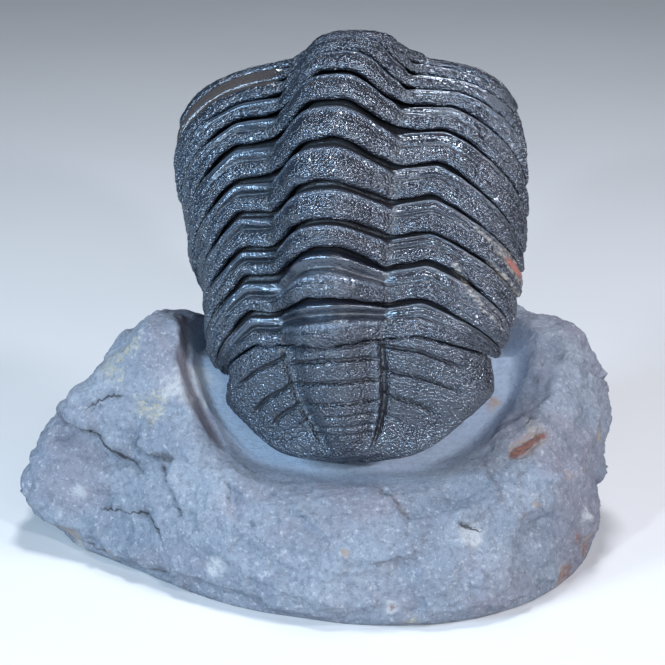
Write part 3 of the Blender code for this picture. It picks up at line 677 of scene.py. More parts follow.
# The head shield: a swollen lobe that widens forward, a ring behind it, and an eye on each side.
LOBE_HALF = 0.34
LOBE_WIDENS = 0.2
LOBE_HEIGHT = 3.0
NECK_RING_HEIGHT = 0.45
NECK_FURROW = 0.7
CHEEK_FURROW = 0.6
BORDER_HEIGHT = 0.5
FRONT_RIM_HEIGHT = 0.6
EYE_STATION = 12.4
EYE_SHARE = 0.61
EYE_LONG = 0.21
EYE_WIDE = 0.105
EYE_CURVE = 0.05
EYE_HEIGHT = 1.9
EYE_ACROSS = 3.6
LENS_PITCH = 0.62
LENS_HEIGHT = 0.16
LENS_ROW = 0.866
KNOB_PITCH = 0.95
KNOB_HEIGHT = 0.2
HEAD_ROWS = 112
HEAD_LOW_ROWS = 12
HEAD_HEART = 12.4


def head_height(q, u):
    """Neck ring, deep furrow, swollen lobe, cheek and raised border."""
    v = q - NECK
    out = np.abs(u)
    lobe_half = LOBE_HALF + LOBE_WIDENS * step(0.15, 0.75, v)
    inside = 1 - step(lobe_half - 0.07, lobe_half + 0.03, out)
    lobe = LOBE_HEIGHT * step(0.13, 0.45, v) * (1 - step(0.84, 0.97, v)) * inside
    ring = NECK_RING_HEIGHT * bump(v, 0.055, 0.05) * (1 - step(0.4, 0.46, out))
    furrow = NECK_FURROW * bump(v, 0.135, 0.025)
    furrow = furrow + CHEEK_FURROW * bump(out, lobe_half + 0.03, 0.03) * step(0.05, 0.2, v)
    border = BORDER_HEIGHT * bump(out, 0.97, 0.05) * (1 - step(0.8, 0.9, v))
    return lobe + ring - furrow * (1 - step(0.85, 0.95, v)) + border + FRONT_RIM_HEIGHT * step(0.9, 0.96, v)


def eye_place(q, u):
    """Place along an eye and across it, both from -1 to 1."""
    v = (q - EYE_STATION) / EYE_LONG
    return v, (np.abs(u) - EYE_SHARE - EYE_CURVE * v * v) / EYE_WIDE


def eye_height(q, u):
    """A kidney-shaped mound with steep sides."""
    v, out = eye_place(q, u)
    return EYE_HEIGHT * (np.clip(1 - v * v, 0, 1) * np.clip(1 - out * out, 0, 1)) ** 0.7


def lenses(q, u):
    """Domes in slanting rows on the outer side of each eye, from 0 to 1."""
    v, out = eye_place(q, u)
    along = v * EYE_LONG * HEAD_LENGTH / LENS_PITCH
    up = out * EYE_ACROSS / LENS_PITCH
    row = np.round(up / LENS_ROW)
    column = np.round(along - 0.5 * row) + 0.5 * row
    distance = np.hypot(along - column, up - row * LENS_ROW)
    there = step(0.12, 0.2, out) * (1 - step(0.82, 0.9, out)) * (1 - step(0.7, 0.8, np.abs(v)))
    return there * np.sqrt(np.clip(1 - (distance / 0.46) ** 2, 0, 1))


def grow_head(finish):
    """The head shield, from its front rim back over the top to the neck and along its inner side."""
    settings = bpy.context.scene.fossil_shell
    u = all_columns(settings.columns)[:, None]
    wide = np.ones_like(u)
    rows = np.concatenate(((12.985, 12.975, 12.96), np.linspace(12.945, 12.04, HEAD_ROWS)))
    low_rows = np.concatenate(((12.985, 12.97, 12.95), np.linspace(12.9, 12.12, HEAD_LOW_ROWS)))
    fade = edge_fade(u, UPPER_EDGE) * step(0.0, 0.05, FRONT - rows)
    top_n = (head_height(rows, u) + eye_height(rows, u)) * fade + RIM_LOW * (1 - fade)
    low_fade = step(0.0, 0.14, FRONT - low_rows) * edge_fade(u, LOWER_EDGE)
    low_n = -RIM_THICK - (PLATE_THICK - RIM_THICK) * low_fade
    edge_s, edge_n = np.array(REAR_EDGE).T
    edge_q = NECK + (1 - edge_s) * PLATE_LENGTHS[-1] / HEAD_LENGTH
    step_q = NECK + STEP_BACK / HEAD_LENGTH
    hang_q = NECK + OVERHANG / HEAD_LENGTH
    rear_n = np.minimum(top_n[:, -1:], 0.3) * np.array((0.9, 0.6, 0.3, 0.1, 0, 0))
    stretches = (rows, edge_q, hang_q, step_q, low_rows[::-1])
    q = np.concatenate([part * wide for part in stretches], axis=1)
    inner_n = -PLATE_THICK * edge_fade(u, LOWER_EDGE)
    hang_n = OVERHANG_LOW * wide
    n = np.concatenate((top_n, edge_n * wide + rear_n, hang_n, inner_n, low_n[:, ::-1]), axis=1)
    n = RIM_MIDDLE + (n - RIM_MIDDLE) * draw_in(u, 0.02)
    q = HEAD_HEART + (q - HEAD_HEART) * (0.4 + 0.6 * draw_in(u, 0.01))
    outside = np.zeros_like(q)
    outside[:, : len(rows) + 4] = 1
    v = q - NECK
    lobe_half = LOBE_HALF + LOBE_WIDENS * step(0.15, 0.75, v)
    on_lobe = (1 - step(lobe_half - 0.04, lobe_half + 0.02, np.abs(u))) * step(0.16, 0.24, v)
    eyes = step(0.2, 0.8, eye_height(q, u))
    points = back_surface(q, u * np.ones_like(q))
    knobs = grains(points, KNOB_PITCH, seed=21, roundness=0.55)
    n = n + outside * (KNOB_HEIGHT * knobs * on_lobe + LENS_HEIGHT * lenses(q, u))
    looks = {
        "outside": outside,
        "grain": np.clip(0.75 + 0.25 * on_lobe - 0.7 * eyes, 0, 1),
        # Painted shade in the neck furrow.
        "furrow": bump(v, 0.135, 0.03) * (1 - eyes),
        "ridge": np.zeros_like(q),
        "side": u * np.ones_like(q),
    }
    q[0], q[-1] = HEAD_HEART, HEAD_HEART
    n[0], n[-1] = RIM_MIDDLE, RIM_MIDDLE
    shell_piece("head_shield", "cephalon", q, u * np.ones_like(q), n, looks, finish)


# The stone, described by the direction from its middle: (angle, value) points, 0 along +X.
STONE_MIDDLE = (2.0, 2.0)
OUTLINE = ((0, 28.0), (35, 27.0), (60, 25.5), (90, 24.5), (115, 25.0), (140, 26.5), (165, 30.2),
           (187, 33.2), (203, 26.8), (215, 24.4), (231, 23.3), (257, 23.5), (278, 25.0), (297, 26.6),
           (317, 27.4), (341, 27.5), (360, 28.0))
SHOULDER_AT = ((0, 0.86), (35, 0.76), (60, 0.76), (90, 0.82), (140, 0.74), (165, 0.62), (187, 0.58),
               (203, 0.62), (231, 0.7), (257, 0.83), (297, 0.84), (317, 0.8), (341, 0.84), (360, 0.86))
SHOULDER_HEIGHT = ((0, 21.5), (35, 20.0), (60, 18.0), (90, 17.0), (140, 18.3), (165, 22.0), (187, 22.8),
                   (203, 18.5), (231, 12.6), (257, 10.2), (297, 10.0), (317, 12.4), (341, 17.4),
                   (360, 21.5))
ROUNDNESS = ((0, 1.0), (60, 0.9), (140, 0.5), (165, 0.2), (187, 0.2), (215, 0.5), (257, 0.9), (360, 1.0))
BULGE_HEIGHT = ((0, 11.0), (60, 7.0), (140, 6.5), (187, 6.0), (203, 3.2), (257, 2.6), (297, 2.6),
                (341, 6.0), (360, 11.0))
FOOT_AT = ((0, 0.96), (90, 0.92), (165, 0.9), (187, 0.84), (203, 0.93), (257, 0.97), (317, 0.99),
           (341, 0.99), (360, 0.96))
MIDDLE_HEIGHT = 22.0

# Shares of the rows from the middle of the top to the middle of the base.
SHOULDER_ROW = 0.5
BULGE_ROW = 0.75
FOOT_ROW = 0.86

MOAT_MIDDLE = (4.2, 0.5)
MOAT_HALF = (18.4, 17.0)
MOAT_DEPTH = 3.2
MOAT_LAST_ROW = 0.72

LUMP_SIZE = 6.0
LUMP_HEIGHT = 0.7
LEDGE_SIZE = 5.0
LEDGE_DEPTH = 1.1
ROUGH_RISE = 0.35
ROUGH_CENTRE_HEIGHT = 9.0

# The stone's own mesh: closer rows and columns on the side that shows most.
ROW_SHARES = (0, 0.07, 0.9, 1.0)
ROW_PLACES = (0, 0.26, 0.87, 1.0)
AROUND_SHARES = (0, 0.2, 0.36, 1.0)
AROUND_PLACES = (0, 60, 150, 360)


def moat(x, y):
    """How deep the smooth trench around the fossil is cut at a place; it rises gently at the front."""
    e = np.hypot((x - MOAT_MIDDLE[0]) / MOAT_HALF[0], (y - MOAT_MIDDLE[1]) / MOAT_HALF[1])
    front = step(0.0, 1.0, (MOAT_MIDDLE[1] - y) / MOAT_HALF[1])
    return MOAT_DEPTH * (1 - step(0.86 - 0.3 * front, 1.02 + 0.06 * front, e))


def stone_skin(angle, row):
    """Points of the stone's skin; row runs from 0 (middle of the top) to 1 (middle of the base)."""
    outer, shoulder = smooth(angle, OUTLINE), smooth(angle, SHOULDER_AT)
    high, bulge = smooth(angle, SHOULDER_HEIGHT), smooth(angle, BULGE_HEIGHT)
    foot, roundness = smooth(angle, FOOT_AT), smooth(angle, ROUNDNESS)
    on_top = row / SHOULDER_ROW
    down = np.clip((row - SHOULDER_ROW) / (BULGE_ROW - SHOULDER_ROW), 0, 1)
    under = np.clip((row - BULGE_ROW) / (FOOT_ROW - BULGE_ROW), 0, 1)
    turn = down * math.pi / 2
    side = shoulder + (1 - shoulder) * (roundness * np.sin(turn) ** 0.9 + (1 - roundness) * down)
    fall = roundness * (1 - np.cos(turn)) ** 0.8 + (1 - roundness) * down
    out = np.select(
        (row < SHOULDER_ROW, row < BULGE_ROW, row < FOOT_ROW),
        (shoulder * on_top, side, 1 + (foot - 1) * under**1.5),
        foot * (1 - row) / (1 - FOOT_ROW),
    )
    top = MIDDLE_HEIGHT + (high - MIDDLE_HEIGHT) * on_top
    z = np.select(
        (row < SHOULDER_ROW, row < BULGE_ROW, row < FOOT_ROW),
        (top, high + (bulge - high) * fall, bulge * (1 - under)),
        0.0,
    )
    x = STONE_MIDDLE[0] + outer * out * np.cos(np.radians(angle))
    y = STONE_MIDDLE[1] + outer * out * np.sin(np.radians(angle))
    return np.stack((x, y, z), -1)


def roughen(x, y, z):
    """Broken lumps and ledges; hardly any in the moat and none on the flat base."""
    outside_moat = 1 - min(1.0, float(moat(x, y)) / (MOAT_DEPTH / 2))
    strength = min(1.0, z / 2.0) * (0.15 + 0.85 * outside_moat)
    lump = noise.fractal(Vector((x, y * 1.1, z)) / LUMP_SIZE, 0.9, 2.2, 4)
    ledge = abs(noise.noise(Vector((x + 0.6 * z, y, z * 1.6)) / LEDGE_SIZE + Vector((7.0, 3.0, 1.0))))
    return strength * (LUMP_HEIGHT * lump - LEDGE_DEPTH * ledge + ROUGH_RISE)


def stone_block():
    """The block: a ball whose rings are drawn out to the stone's outline, with the moat cut into it."""
    settings = bpy.context.scene.fossil_stone
    bm = bmesh.new()
    bmesh.ops.create_uvsphere(bm, u_segments=settings.around, v_segments=settings.rows, radius=1.0)
    unit = np.array([vert.co for vert in bm.verts])
    turn = np.arccos(np.clip(unit[:, 2], -1, 1)) / math.pi
    row = np.interp(turn, ROW_SHARES, ROW_PLACES)
    share = np.degrees(np.arctan2(unit[:, 1], unit[:, 0])) % 360 / 360
    angle = np.interp(share, AROUND_SHARES, AROUND_PLACES)
    skin = stone_skin(angle, row)
    cut = np.where((row < MOAT_LAST_ROW) & (skin[:, 2] > 0), moat(skin[:, 0], skin[:, 1]), 0)
    skin[:, 2] -= cut
    middle = np.array((*STONE_MIDDLE, ROUGH_CENTRE_HEIGHT))
    away = skin - middle
    away /= np.linalg.norm(away, axis=1, keepdims=True)
    for vert, place, direction in zip(bm.verts, skin, away):
        if place[2] > 0:
            place = place + direction * roughen(*place)
            place[2] = max(place[2], 0.0)
        vert.co = Vector(place) * MM
    return as_object("stone_block", bm)


# The stone that fills the arch: it follows the inside of the plates, and its sides and ends draw in to
# one line deep in the block.
FILLING_ROWS = np.concatenate(
    (np.linspace(0.45, 1.0, 8), np.linspace(1.1, 11.9, 100), np.linspace(11.95, 12.7, 22))
)
FILLING_COLUMNS = np.linspace(-0.935, 0.935, 121)
FILLING_DEPTH = 2.9
FILLING_RISE_AT_EDGE = 0.25
FILLING_NARROWS = 0.25
CORE_HALF = 7.0
CORE_Y = 11.0
CORE_Z = 3.0


def arch_filling():
    """The inside of the plates as a curved sheet, closed to the core line below it."""
    depth = FILLING_DEPTH - FILLING_RISE_AT_EDGE * step(0.8, 0.95, np.abs(FILLING_COLUMNS))
    q, u = np.broadcast_arrays(FILLING_ROWS[:, None], FILLING_COLUMNS[None, :])
    u = u * (1 - FILLING_NARROWS * (1 - step(0.5, 1.8, q)))
    points = back_surface(q, u) - outward(q, u) * depth[None, :, None]
    bm = bmesh.new()
    bmesh.ops.create_grid(bm, x_segments=len(q) - 1, y_segments=len(FILLING_COLUMNS) - 1, size=1.0)
    placed = sorted(bm.verts, key=lambda v: (round(v.co.x, 6), round(v.co.y, 6)))
    share_of = {}
    for index, vert in enumerate(placed):
        row, column = divmod(index, len(FILLING_COLUMNS))
        vert.co = Vector(points[row, column]) * MM
        share_of[vert] = FILLING_COLUMNS[column] / FILLING_COLUMNS[-1]
    edges = [edge for edge in bm.edges if edge.is_boundary]
    skirt = bmesh.ops.extrude_edge_only(bm, edges=edges)["geom"]
    for vert in [item for item in skirt if isinstance(item, bmesh.types.BMVert)]:
        beside = [edge.other_vert(vert) for edge in vert.link_edges]
        source = next(other for other in beside if other in share_of)
        core = to_world(np.array((share_of[source] * CORE_HALF, CORE_Y, CORE_Z)))
        vert.co = Vector(core) * MM
    bmesh.ops.remove_doubles(bm, verts=bm.verts, dist=1e-7)
    bmesh.ops.dissolve_degenerate(bm, edges=bm.edges, dist=1e-7)
    return as_object("stone_filling", bm)


def joined_stone():
    """The block and the filling as one closed mesh, with no modifier left on it."""
    block, filling = stone_block(), arch_filling()
    union = block.modifiers.new("filling", "BOOLEAN")
    union.operation = "UNION"
    union.solver = "MANIFOLD"
    union.object = filling
    graph = bpy.context.evaluated_depsgraph_get()
    mesh = bpy.data.meshes.new_from_object(block.evaluated_get(graph))
    for helper in (block, filling):
        bpy.data.objects.remove(helper)
    obj = bpy.data.objects.new("limestone_block", mesh)
    mesh.name = "limestone_block"
    bpy.context.scene.collection.objects.link(obj)
    return obj


# Broken edges, cracks and marks on the stone: routes of places in millimetres, each with its size.
LONG_BREAK = ((-27.6, -0.6, 13.2), (-25.7, -1.8, 13.3), (-24.2, -3.0, 12.9), (-22.4, -4.1, 12.8),
              (-21.4, -5.3, 11.6), (-20.6, -5.9, 11.3), (-18.8, -7.3, 10.9))
LEDGES = (
    (LONG_BREAK, 1.0),
    (((-18.6, -6.2, 12.9), (-16.7, -7.9, 12.0), (-15.6, -8.6, 12.0), (-14.0, -9.6, 12.0)), 0.6),
)
CRACKS = (
    (((-15.6, -9.0, 11.4), (-15.2, -9.6, 10.9), (-14.3, -11.1, 9.3), (-13.7, -12.0, 8.0),
      (-12.9, -13.6, 7.1)), 0.8),
    (((-22.1, -7.6, 5.7), (-20.4, -8.3, 6.0), (-17.0, -10.8, 6.7), (-15.7, -12.8, 5.7),
      (-15.1, -13.8, 4.5)), 0.5),
    (((-23.9, -6.0, 1.6), (-22.1, -7.3, 1.5), (-20.1, -9.6, 1.8), (-16.7, -11.7, 1.4),
      (-13.9, -14.8, 1.5)), 1.0),
    (((-23.6, -2.7, 14.5), (-22.2, -3.0, 15.5), (-20.8, -3.3, 16.3), (-19.2, -4.0, 16.5)), 0.8),
    ((*LONG_BREAK, (-16.8, -9.4, 9.9)), 1.2),
    (((13.5, -19.0, 9.4), (14.5, -18.7, 8.9), (16.0, -18.3, 8.2)), 0.5),
)
INCLUSION = ((19.3, -11.6, 13.3), (20.1, -11.0, 13.7), (21.4, -10.0, 14.2), (22.9, -9.0, 14.7))
MOAT_WALL = ((-14.1, 5.0, 22.0), (-14.0, 2.5, 21.8), (-13.6, -0.6, 21.3), (-13.3, -2.7, 19.9),
             (-12.8, -4.0, 18.3), (-12.1, -5.2, 16.6), (-11.2, -6.6, 14.4), (-9.9, -8.3, 12.4))
MOAT_GROOVE = ((23.9, 0.1, 20.3), (22.9, -2.8, 18.9), (21.9, -5.2, 17.5), (21.1, -6.9, 16.4),
               (20.2, -7.9, 15.5))

# Stained places of the stone: middle and radius.
RED_PLACES = (((-11.8, -7.4, 14.4), 0.45), ((25.7, -10.6, 3.6), 1.2), ((5.4, -19.9, 9.0), 0.35),
              ((7.4, -22.6, 2.1), 0.5), ((26.3, -7.6, 1.6), 2.2), ((24.0, -12.6, 1.5), 2.0))
TAN_PLACES = (((18.0, -3.3, 15.5), 0.9), ((17.7, -4.1, 15.0), 0.6), ((24.6, -11.6, 10.9), 0.8),
              ((26.0, -9.6, 10.6), 0.9), ((20.0, -15.7, 8.9), 0.8), ((21.2, -14.9, 9.3), 0.7),
              ((28.9, -3.5, 12.3), 1.0), ((2.8, -21.4, 7.3), 0.6), ((-25.2, -6.0, 2.0), 2.0),
              ((27.5, -8.5, 2.5), 1.7), ((24.5, -13.5, 1.2), 1.6), ((-21.0, -10.0, 1.2), 1.4))
YELLOW_PLACES = (((-20.6, -1.3, 18.3), 2.2), ((-18.3, -0.8, 20.8), 1.7), ((-16.6, -4.6, 15.6), 2.4),
                 ((28.9, -3.5, 12.3), 0.9), ((21.4, -8.4, 15.5), 1.2), ((9.0, -22.8, 1.0), 1.0))
PALE_PLACES = (((-9.7, -17.7, 4.0), 1.3), ((-24.0, -6.4, 7.0), 1.0), ((-26.2, -6.1, 4.3), 0.8),
               ((-13.0, -3.4, 17.7), 3.2), ((29.6, 2.4, 13.5), 1.0), ((14.8, -19.3, 8.2), 1.6),
               ((7.4, -22.6, 2.1), 0.8), ((-24.4, -5.8, 1.2), 1.4), ((27.0, -10.0, 6.0), 1.2))


def spots(points, places, ragged):
    """1 on marks at the given places, with ragged edges, and 0 away from them."""
    total = np.zeros(len(points))
    for centre, radius in places:
        distance = np.linalg.norm(points - np.array(centre), axis=-1) / radius
        total = np.maximum(total, 1 - step(0.5, 1.05, distance + 0.35 * ragged))
    return total


def finish_stone(obj):
    """Fine breaks, cracks and the marks that the materials read, painted shade under the ledges and in the
    cracks among them.
    """
    mesh = obj.data
    count = len(mesh.vertices)
    points, normals = np.empty(count * 3), np.empty(count * 3)
    mesh.vertices.foreach_get("co", points)
    mesh.vertex_normals.foreach_get("vector", normals)
    points, normals = points.reshape(-1, 3) / MM, normals.reshape(-1, 3)
    trench = moat(points[:, 0], points[:, 1]) / MOAT_DEPTH
    trench = trench * step(6.0, 9.0, points[:, 2])
    broken = 1 - step(0.05, 0.6, trench)
    settings = bpy.context.scene.fossil_stone
    wobble = 0.5 * waves(points, 1.6, seed=31) + 0.25 * waves(points, 0.7, seed=32)
    bent = points + 0.5 * np.stack([waves(points, 2.2, seed=33 + axis) for axis in range(3)], -1)
    faces = facets(bent * (1, 1, 1.3), 8.0, seed=40) + 0.3 * facets(bent * (1, 1, 1.5), 2.8, seed=50)
    faces = np.clip(faces, -1.0, 0.8)
    fine = 0.5 * waves(points, 1.3, seed=4) + 0.4 * waves(points, 0.7, seed=5)
    chips = np.abs(facets(bent, 1.1, seed=60))
    relief = settings.face_height / MM * faces + settings.break_height / MM * (fine - 0.7 * chips)
    relief = relief * (0.06 + 0.94 * broken)
    dark = np.zeros(count)
    for route, size in LEDGES:
        distance, share = from_line(points, route)
        line = np.array(route, float)
        along = np.clip(share * (len(route) - 1), 0, len(route) - 1.001)
        level = np.interp(along, np.arange(len(route)), line[:, 2])
        over = points[:, 2] + 0.3 * wobble - level
        ends = step(0.0, 0.12, share) * (1 - step(0.88, 1.0, share))
        overhang = step(-0.3, 0.1, over) * (1 - step(1.5, 6.0, distance))
        under = (1 - step(-0.35, 0.05, over)) * (1 - step(0.6, 4.0, distance))
        relief = relief + size * ends * (0.7 * overhang - 0.9 * under)
        # Painted shade just below each ledge, where its overhang shades the stone.
        dark = np.maximum(dark, ends * (1 - step(0.25, 0.8, distance + 0.3 * wobble)) * (over < 0.15))
    crack, beside = np.ones(count), np.zeros(count)
    for route, size in CRACKS:
        distance, side, share = across_line(points, route)
        ends = step(0.0, 0.15, share) * (1 - step(0.85, 1.0, share))
        closer = distance < np.abs(crack)
        crack = np.where(closer, side * distance, crack)
        beside = np.where(closer, ends * (1 - step(0.5, 0.9, distance)), beside)
        relief = relief + 0.25 * size * ends * side * (1 - step(0.0, 2.5, distance))
        shade = ends * (1 - step(0.1, 0.9 * size, distance + 0.3 * wobble))
        relief = relief - 0.35 * size * shade
        # Painted shade in each crack's soft groove.
        dark = np.maximum(dark, 0.55 * shade)
    distance, share = from_line(points, INCLUSION)
    taper = 0.35 + 0.65 * np.sqrt(np.clip(4 * share * (1 - share), 0, 1))
    rust = 1 - step(0.42, 0.6, distance / taper + 0.15 * wobble)
    relief = relief - 0.5 * (1 - step(0.5, 1.3, distance / taper)) + 0.35 * rust
    halo = (1 - step(0.7, 1.5, distance / taper)) * (1 - rust)
    wall = 1 - step(0.5, 1.15, from_line(points, MOAT_WALL)[0] + 0.25 * wobble)
    groove = 1 - step(0.4, 2.0, from_line(points, MOAT_GROOVE)[0] + 0.3 * wobble)
    relief = relief - 0.45 * groove - 0.35 * wall
    above = step(0.0, 1.2, points[:, 2])
    points = points + normals * (relief * above)[:, None]
    points[:, 2] = np.maximum(points[:, 2], 0.0)
    mesh.vertices.foreach_set("co", (points * MM).ravel())
    ragged = wobble + 0.5 * waves(points, 0.45, seed=34)
    marks = {
        "trench": trench,
        "dark": dark,
        "crack": crack,
        "beside": beside,
        "chips": chips * broken,
        "wall": wall,
        "groove": groove,
        "rust": rust,
        "red": spots(points, RED_PLACES, ragged),
        "tan": np.maximum(0.8 * halo, spots(points, TAN_PLACES, ragged)),
        "yellow": spots(points, YELLOW_PLACES, 1.5 * ragged),
        "pale": spots(points, PALE_PLACES, 1.5 * ragged),
    }
    for key, values in marks.items():
        mesh.attributes.new(key, "FLOAT", "POINT").data.foreach_set("value", values.astype(np.float32))
    mesh.shade_smooth()
    mesh.update()


class Value:
    """A number in a material: arithmetic on it adds Math nodes."""

    def __init__(self, finish, socket):
        self.finish = finish
        self.socket = socket

    def __add__(self, other):
        return self.finish.math("ADD", self, other)

    def __sub__(self, other):
        return self.finish.math("SUBTRACT", self, other)

    def __rsub__(self, other):
        return self.finish.math("SUBTRACT", other, self)

    def __mul__(self, other):
        return self.finish.math("MULTIPLY", self, other)

    __radd__ = __add__
    __rmul__ = __mul__


class Finish:
    """One procedural material on Object coordinates, in metres."""

    def __init__(self, name):
        self.material = bpy.data.materials.new(name)
        self.material.use_nodes = True
        self.tree = self.material.node_tree
        self.shader = self.tree.nodes["Principled BSDF"]
        self.place = self.node("ShaderNodeTexCoord", {}, {}, "Object")

    def node(self, kind, settings, sockets, output=0):
        """Adds a node, sets what it is told, then its sockets' values or links; returns one output."""
        made = self.tree.nodes.new(kind)
        for key, value in settings.items():
            if key == "stops":
                while len(made.color_ramp.elements) < len(value):
                    made.color_ramp.elements.new(1.0)
                for element, (position, colour) in zip(made.color_ramp.elements, value):
                    element.position = position
                    element.color = colour
            else:
                setattr(made, key, value)
        for key, value in sockets.items():
            self.feed(made.inputs[key], value)
        return Value(self, made.outputs[output])

    def feed(self, socket, value):
        """Links a value to a socket, or sets the socket to a plain number or colour."""
        if isinstance(value, Value):
            self.tree.links.new(value.socket, socket)
        else:
            socket.default_value = value

    def math(self, operation, first, second):
        return self.node("ShaderNodeMath", {"operation": operation}, {0: first, 1: second})

    def ramp(self, value, low, high):
        """0 where value is below low, 1 above high, soft between."""
        settings = {"interpolation_type": "SMOOTHSTEP"}
        sockets = {"Value": value, "From Min": low, "From Max": high}
        return self.node("ShaderNodeMapRange", settings, sockets)

    def mix(self, factor, first, second):
        """From the first colour to the second as factor goes from 0 to 1."""
        settings = {"data_type": "RGBA"}
        return self.node("ShaderNodeMix", settings, {0: factor, 6: first, 7: second}, 2)

    def mark(self, name):
        """A number that the mesh holds for each of its points."""
        return self.node("ShaderNodeAttribute", {"attribute_name": name}, {}, "Fac")

    def noise(self, size, detail=2.0, roughness=0.5, place=None):
        """Soft noise from 0 to 1 with features of about that size in metres."""
        sockets = {"Vector": place or self.place, "Scale": 1 / size}
        sockets.update({"Detail": detail, "Roughness": roughness})
        return self.node("ShaderNodeTexNoise", {}, sockets, "Fac")

    def shifted(self, by):
        """Object coordinates moved by a length, so that another noise does not follow the first."""
        return self.node("ShaderNodeVectorMath", {"operation": "ADD"}, {0: self.place, 1: (by, -by, by)})

    def stretched(self, by):
        """Object coordinates scaled along each axis, for marks that run one way."""
        return self.node("ShaderNodeVectorMath", {"operation": "MULTIPLY"}, {0: self.place, 1: by})

    def cells(self, size):
        """Distance from the middle of the nearest of many small cells, in cells."""
        return self.node("ShaderNodeTexVoronoi", {}, {"Vector": self.place, "Scale": 1 / size}, "Distance")

    def relief(self, *layers):
        """Stacks (height, distance in metres) layers of bump and joins them to the shader."""
        normal = None
        for height, distance in layers:
            sockets = {"Height": height, "Distance": distance, "Strength": 1.0}
            if normal:
                sockets["Normal"] = normal
            normal = self.node("ShaderNodeBump", {}, sockets)
        self.feed(self.shader.inputs["Normal"], normal)

    def set(self, **values):
        """Feeds the shader's sockets by name."""
        for key, value in values.items():
            self.feed(self.shader.inputs[key.replace("_", " ")], value)


# Colours of the marks, painted shade and painted highlights among them, as red, green, blue and opacity.
RIM_BROWN = (0.07, 0.035, 0.02, 1)
# Painted highlight on the ridges.
PAINTED_RIDGE_HIGHLIGHT = (0.085, 0.11, 0.15, 1)
# Painted glints on the grain tops, greyer on the right and bluer on the left.
PAINTED_GLINT_GREY = (0.09, 0.09, 0.11, 1)
PAINTED_GLINT_BLUE = (0.08, 0.11, 0.15, 1)
SMOOTH_BROWN = (0.05, 0.043, 0.042, 1)
# Painted shade for the furrows and the gaps between plates.
PAINTED_FURROW_SHADE = (0.004, 0.003, 0.003, 1)
WORN_TAN = (0.32, 0.28, 0.23, 1)
STAIN_RED = (0.32, 0.06, 0.03, 1)
STAIN_BROWN = (0.22, 0.1, 0.07, 1)
COLD_SHINE = (0.76, 0.86, 1, 1)
SPECK_PALE = (0.37, 0.4, 0.44, 1)
STONE_YELLOW = (0.36, 0.33, 0.22, 1)
STONE_PALE = (0.46, 0.48, 0.5, 1)
WALL_DARK = (0.075, 0.066, 0.088, 1)
# Painted shade in the groove along the right rim of the trench.
PAINTED_GROOVE_SHADE = (0.1, 0.12, 0.18, 1)
STONE_TAN = (0.32, 0.22, 0.14, 1)
# Painted shade under the ledges and in the cracks.
PAINTED_HOLLOW_SHADE = (0.045, 0.045, 0.055, 1)
CRACK_BLACK = (0.03, 0.03, 0.038, 1)
RUST_LIGHT = (0.2, 0.08, 0.055, 1)
RUST_DARK = (0.09, 0.04, 0.032, 1)
SHELL_REFRACTION = 1.72


def shell_finish(name):
    """Glossy black shell set with fine grains, browner and smoother in its furrows, with painted shade in
    the furrows and the gaps between plates, painted highlights on the ridges and grain tops, and a blue
    tint painted on the left side where the cold light falls.
    """
    settings = bpy.context.scene.fossil_shell
    f = Finish(name)
    grain, furrow = f.mark("grain"), f.mark("furrow")
    ridge, rim, side = f.mark("ridge"), f.mark("rim"), f.mark("side")
    worn, stain, brown = f.mark("worn"), f.mark("stain"), f.mark("brown")
    patches = f.noise(2.5 * MM, 3.0)
    # Painted light: the shell's left side, with noisy edges, is tinted blue where the cold light falls.
    left = f.ramp(side + 0.4 * patches, 0.5, -0.3)
    tint = f.mix(left, tuple(settings.colour), tuple(settings.cold_light_tint))
    tint = f.mix(f.ramp(f.noise(1.2 * MM, 2.0), 0.5, 0.75) * 0.5, tint, tuple(settings.brown_tint))
    tint = f.mix(rim * f.ramp(patches, 0.45, 0.6) * 0.5, tint, RIM_BROWN)
    # Painted highlight: the ridges are paled towards a cold blue.
    tint = f.mix(ridge * 0.5, tint, PAINTED_RIDGE_HIGHLIGHT)
    fine = f.cells(0.27 * MM)
    domes = f.math("MAXIMUM", 1 - fine * fine * 2.0, 0.0)
    patch = f.ramp(f.noise(1.7 * MM, 3.0, 0.6), 0.4, 0.62)
    # Painted highlights: the tops of the domes are paled in patches as glints, bluer on the left side where
    # the cold light falls.
    pale = f.mix(left, PAINTED_GLINT_GREY, PAINTED_GLINT_BLUE)
    tint = f.mix(f.ramp(domes, 0.45, 0.95) * grain * patch * 0.4, tint, pale)
    tint = f.mix(brown, tint, SMOOTH_BROWN)
    # Painted shade: the furrows and the gaps between plates are blackened.
    tint = f.mix(furrow * 0.8, tint, PAINTED_FURROW_SHADE)
    tint = f.mix(worn * f.ramp(f.noise(0.35 * MM, 3.0), 0.42, 0.6) * 0.75, tint, WORN_TAN)
    tint = f.mix(stain, tint, f.mix(f.noise(0.4 * MM, 3.0), STAIN_RED, STAIN_BROWN))
    shine = f.noise(0.3 * MM, 2.0) * 0.16 + worn * 0.3 + furrow * 0.3 + stain * 0.3
    f.set(Base_Color=tint, Roughness=shine + settings.roughness)
    f.set(Specular_IOR_Level=0.8, IOR=SHELL_REFRACTION, Specular_Tint=COLD_SHINE)
    f.relief(
        (f.noise(0.8 * MM, 3.0, 0.58), 0.065 * MM),
        (domes * (0.15 + 0.85 * grain) * (0.55 + 0.45 * patch), 0.14 * MM),
    )
    return f.material


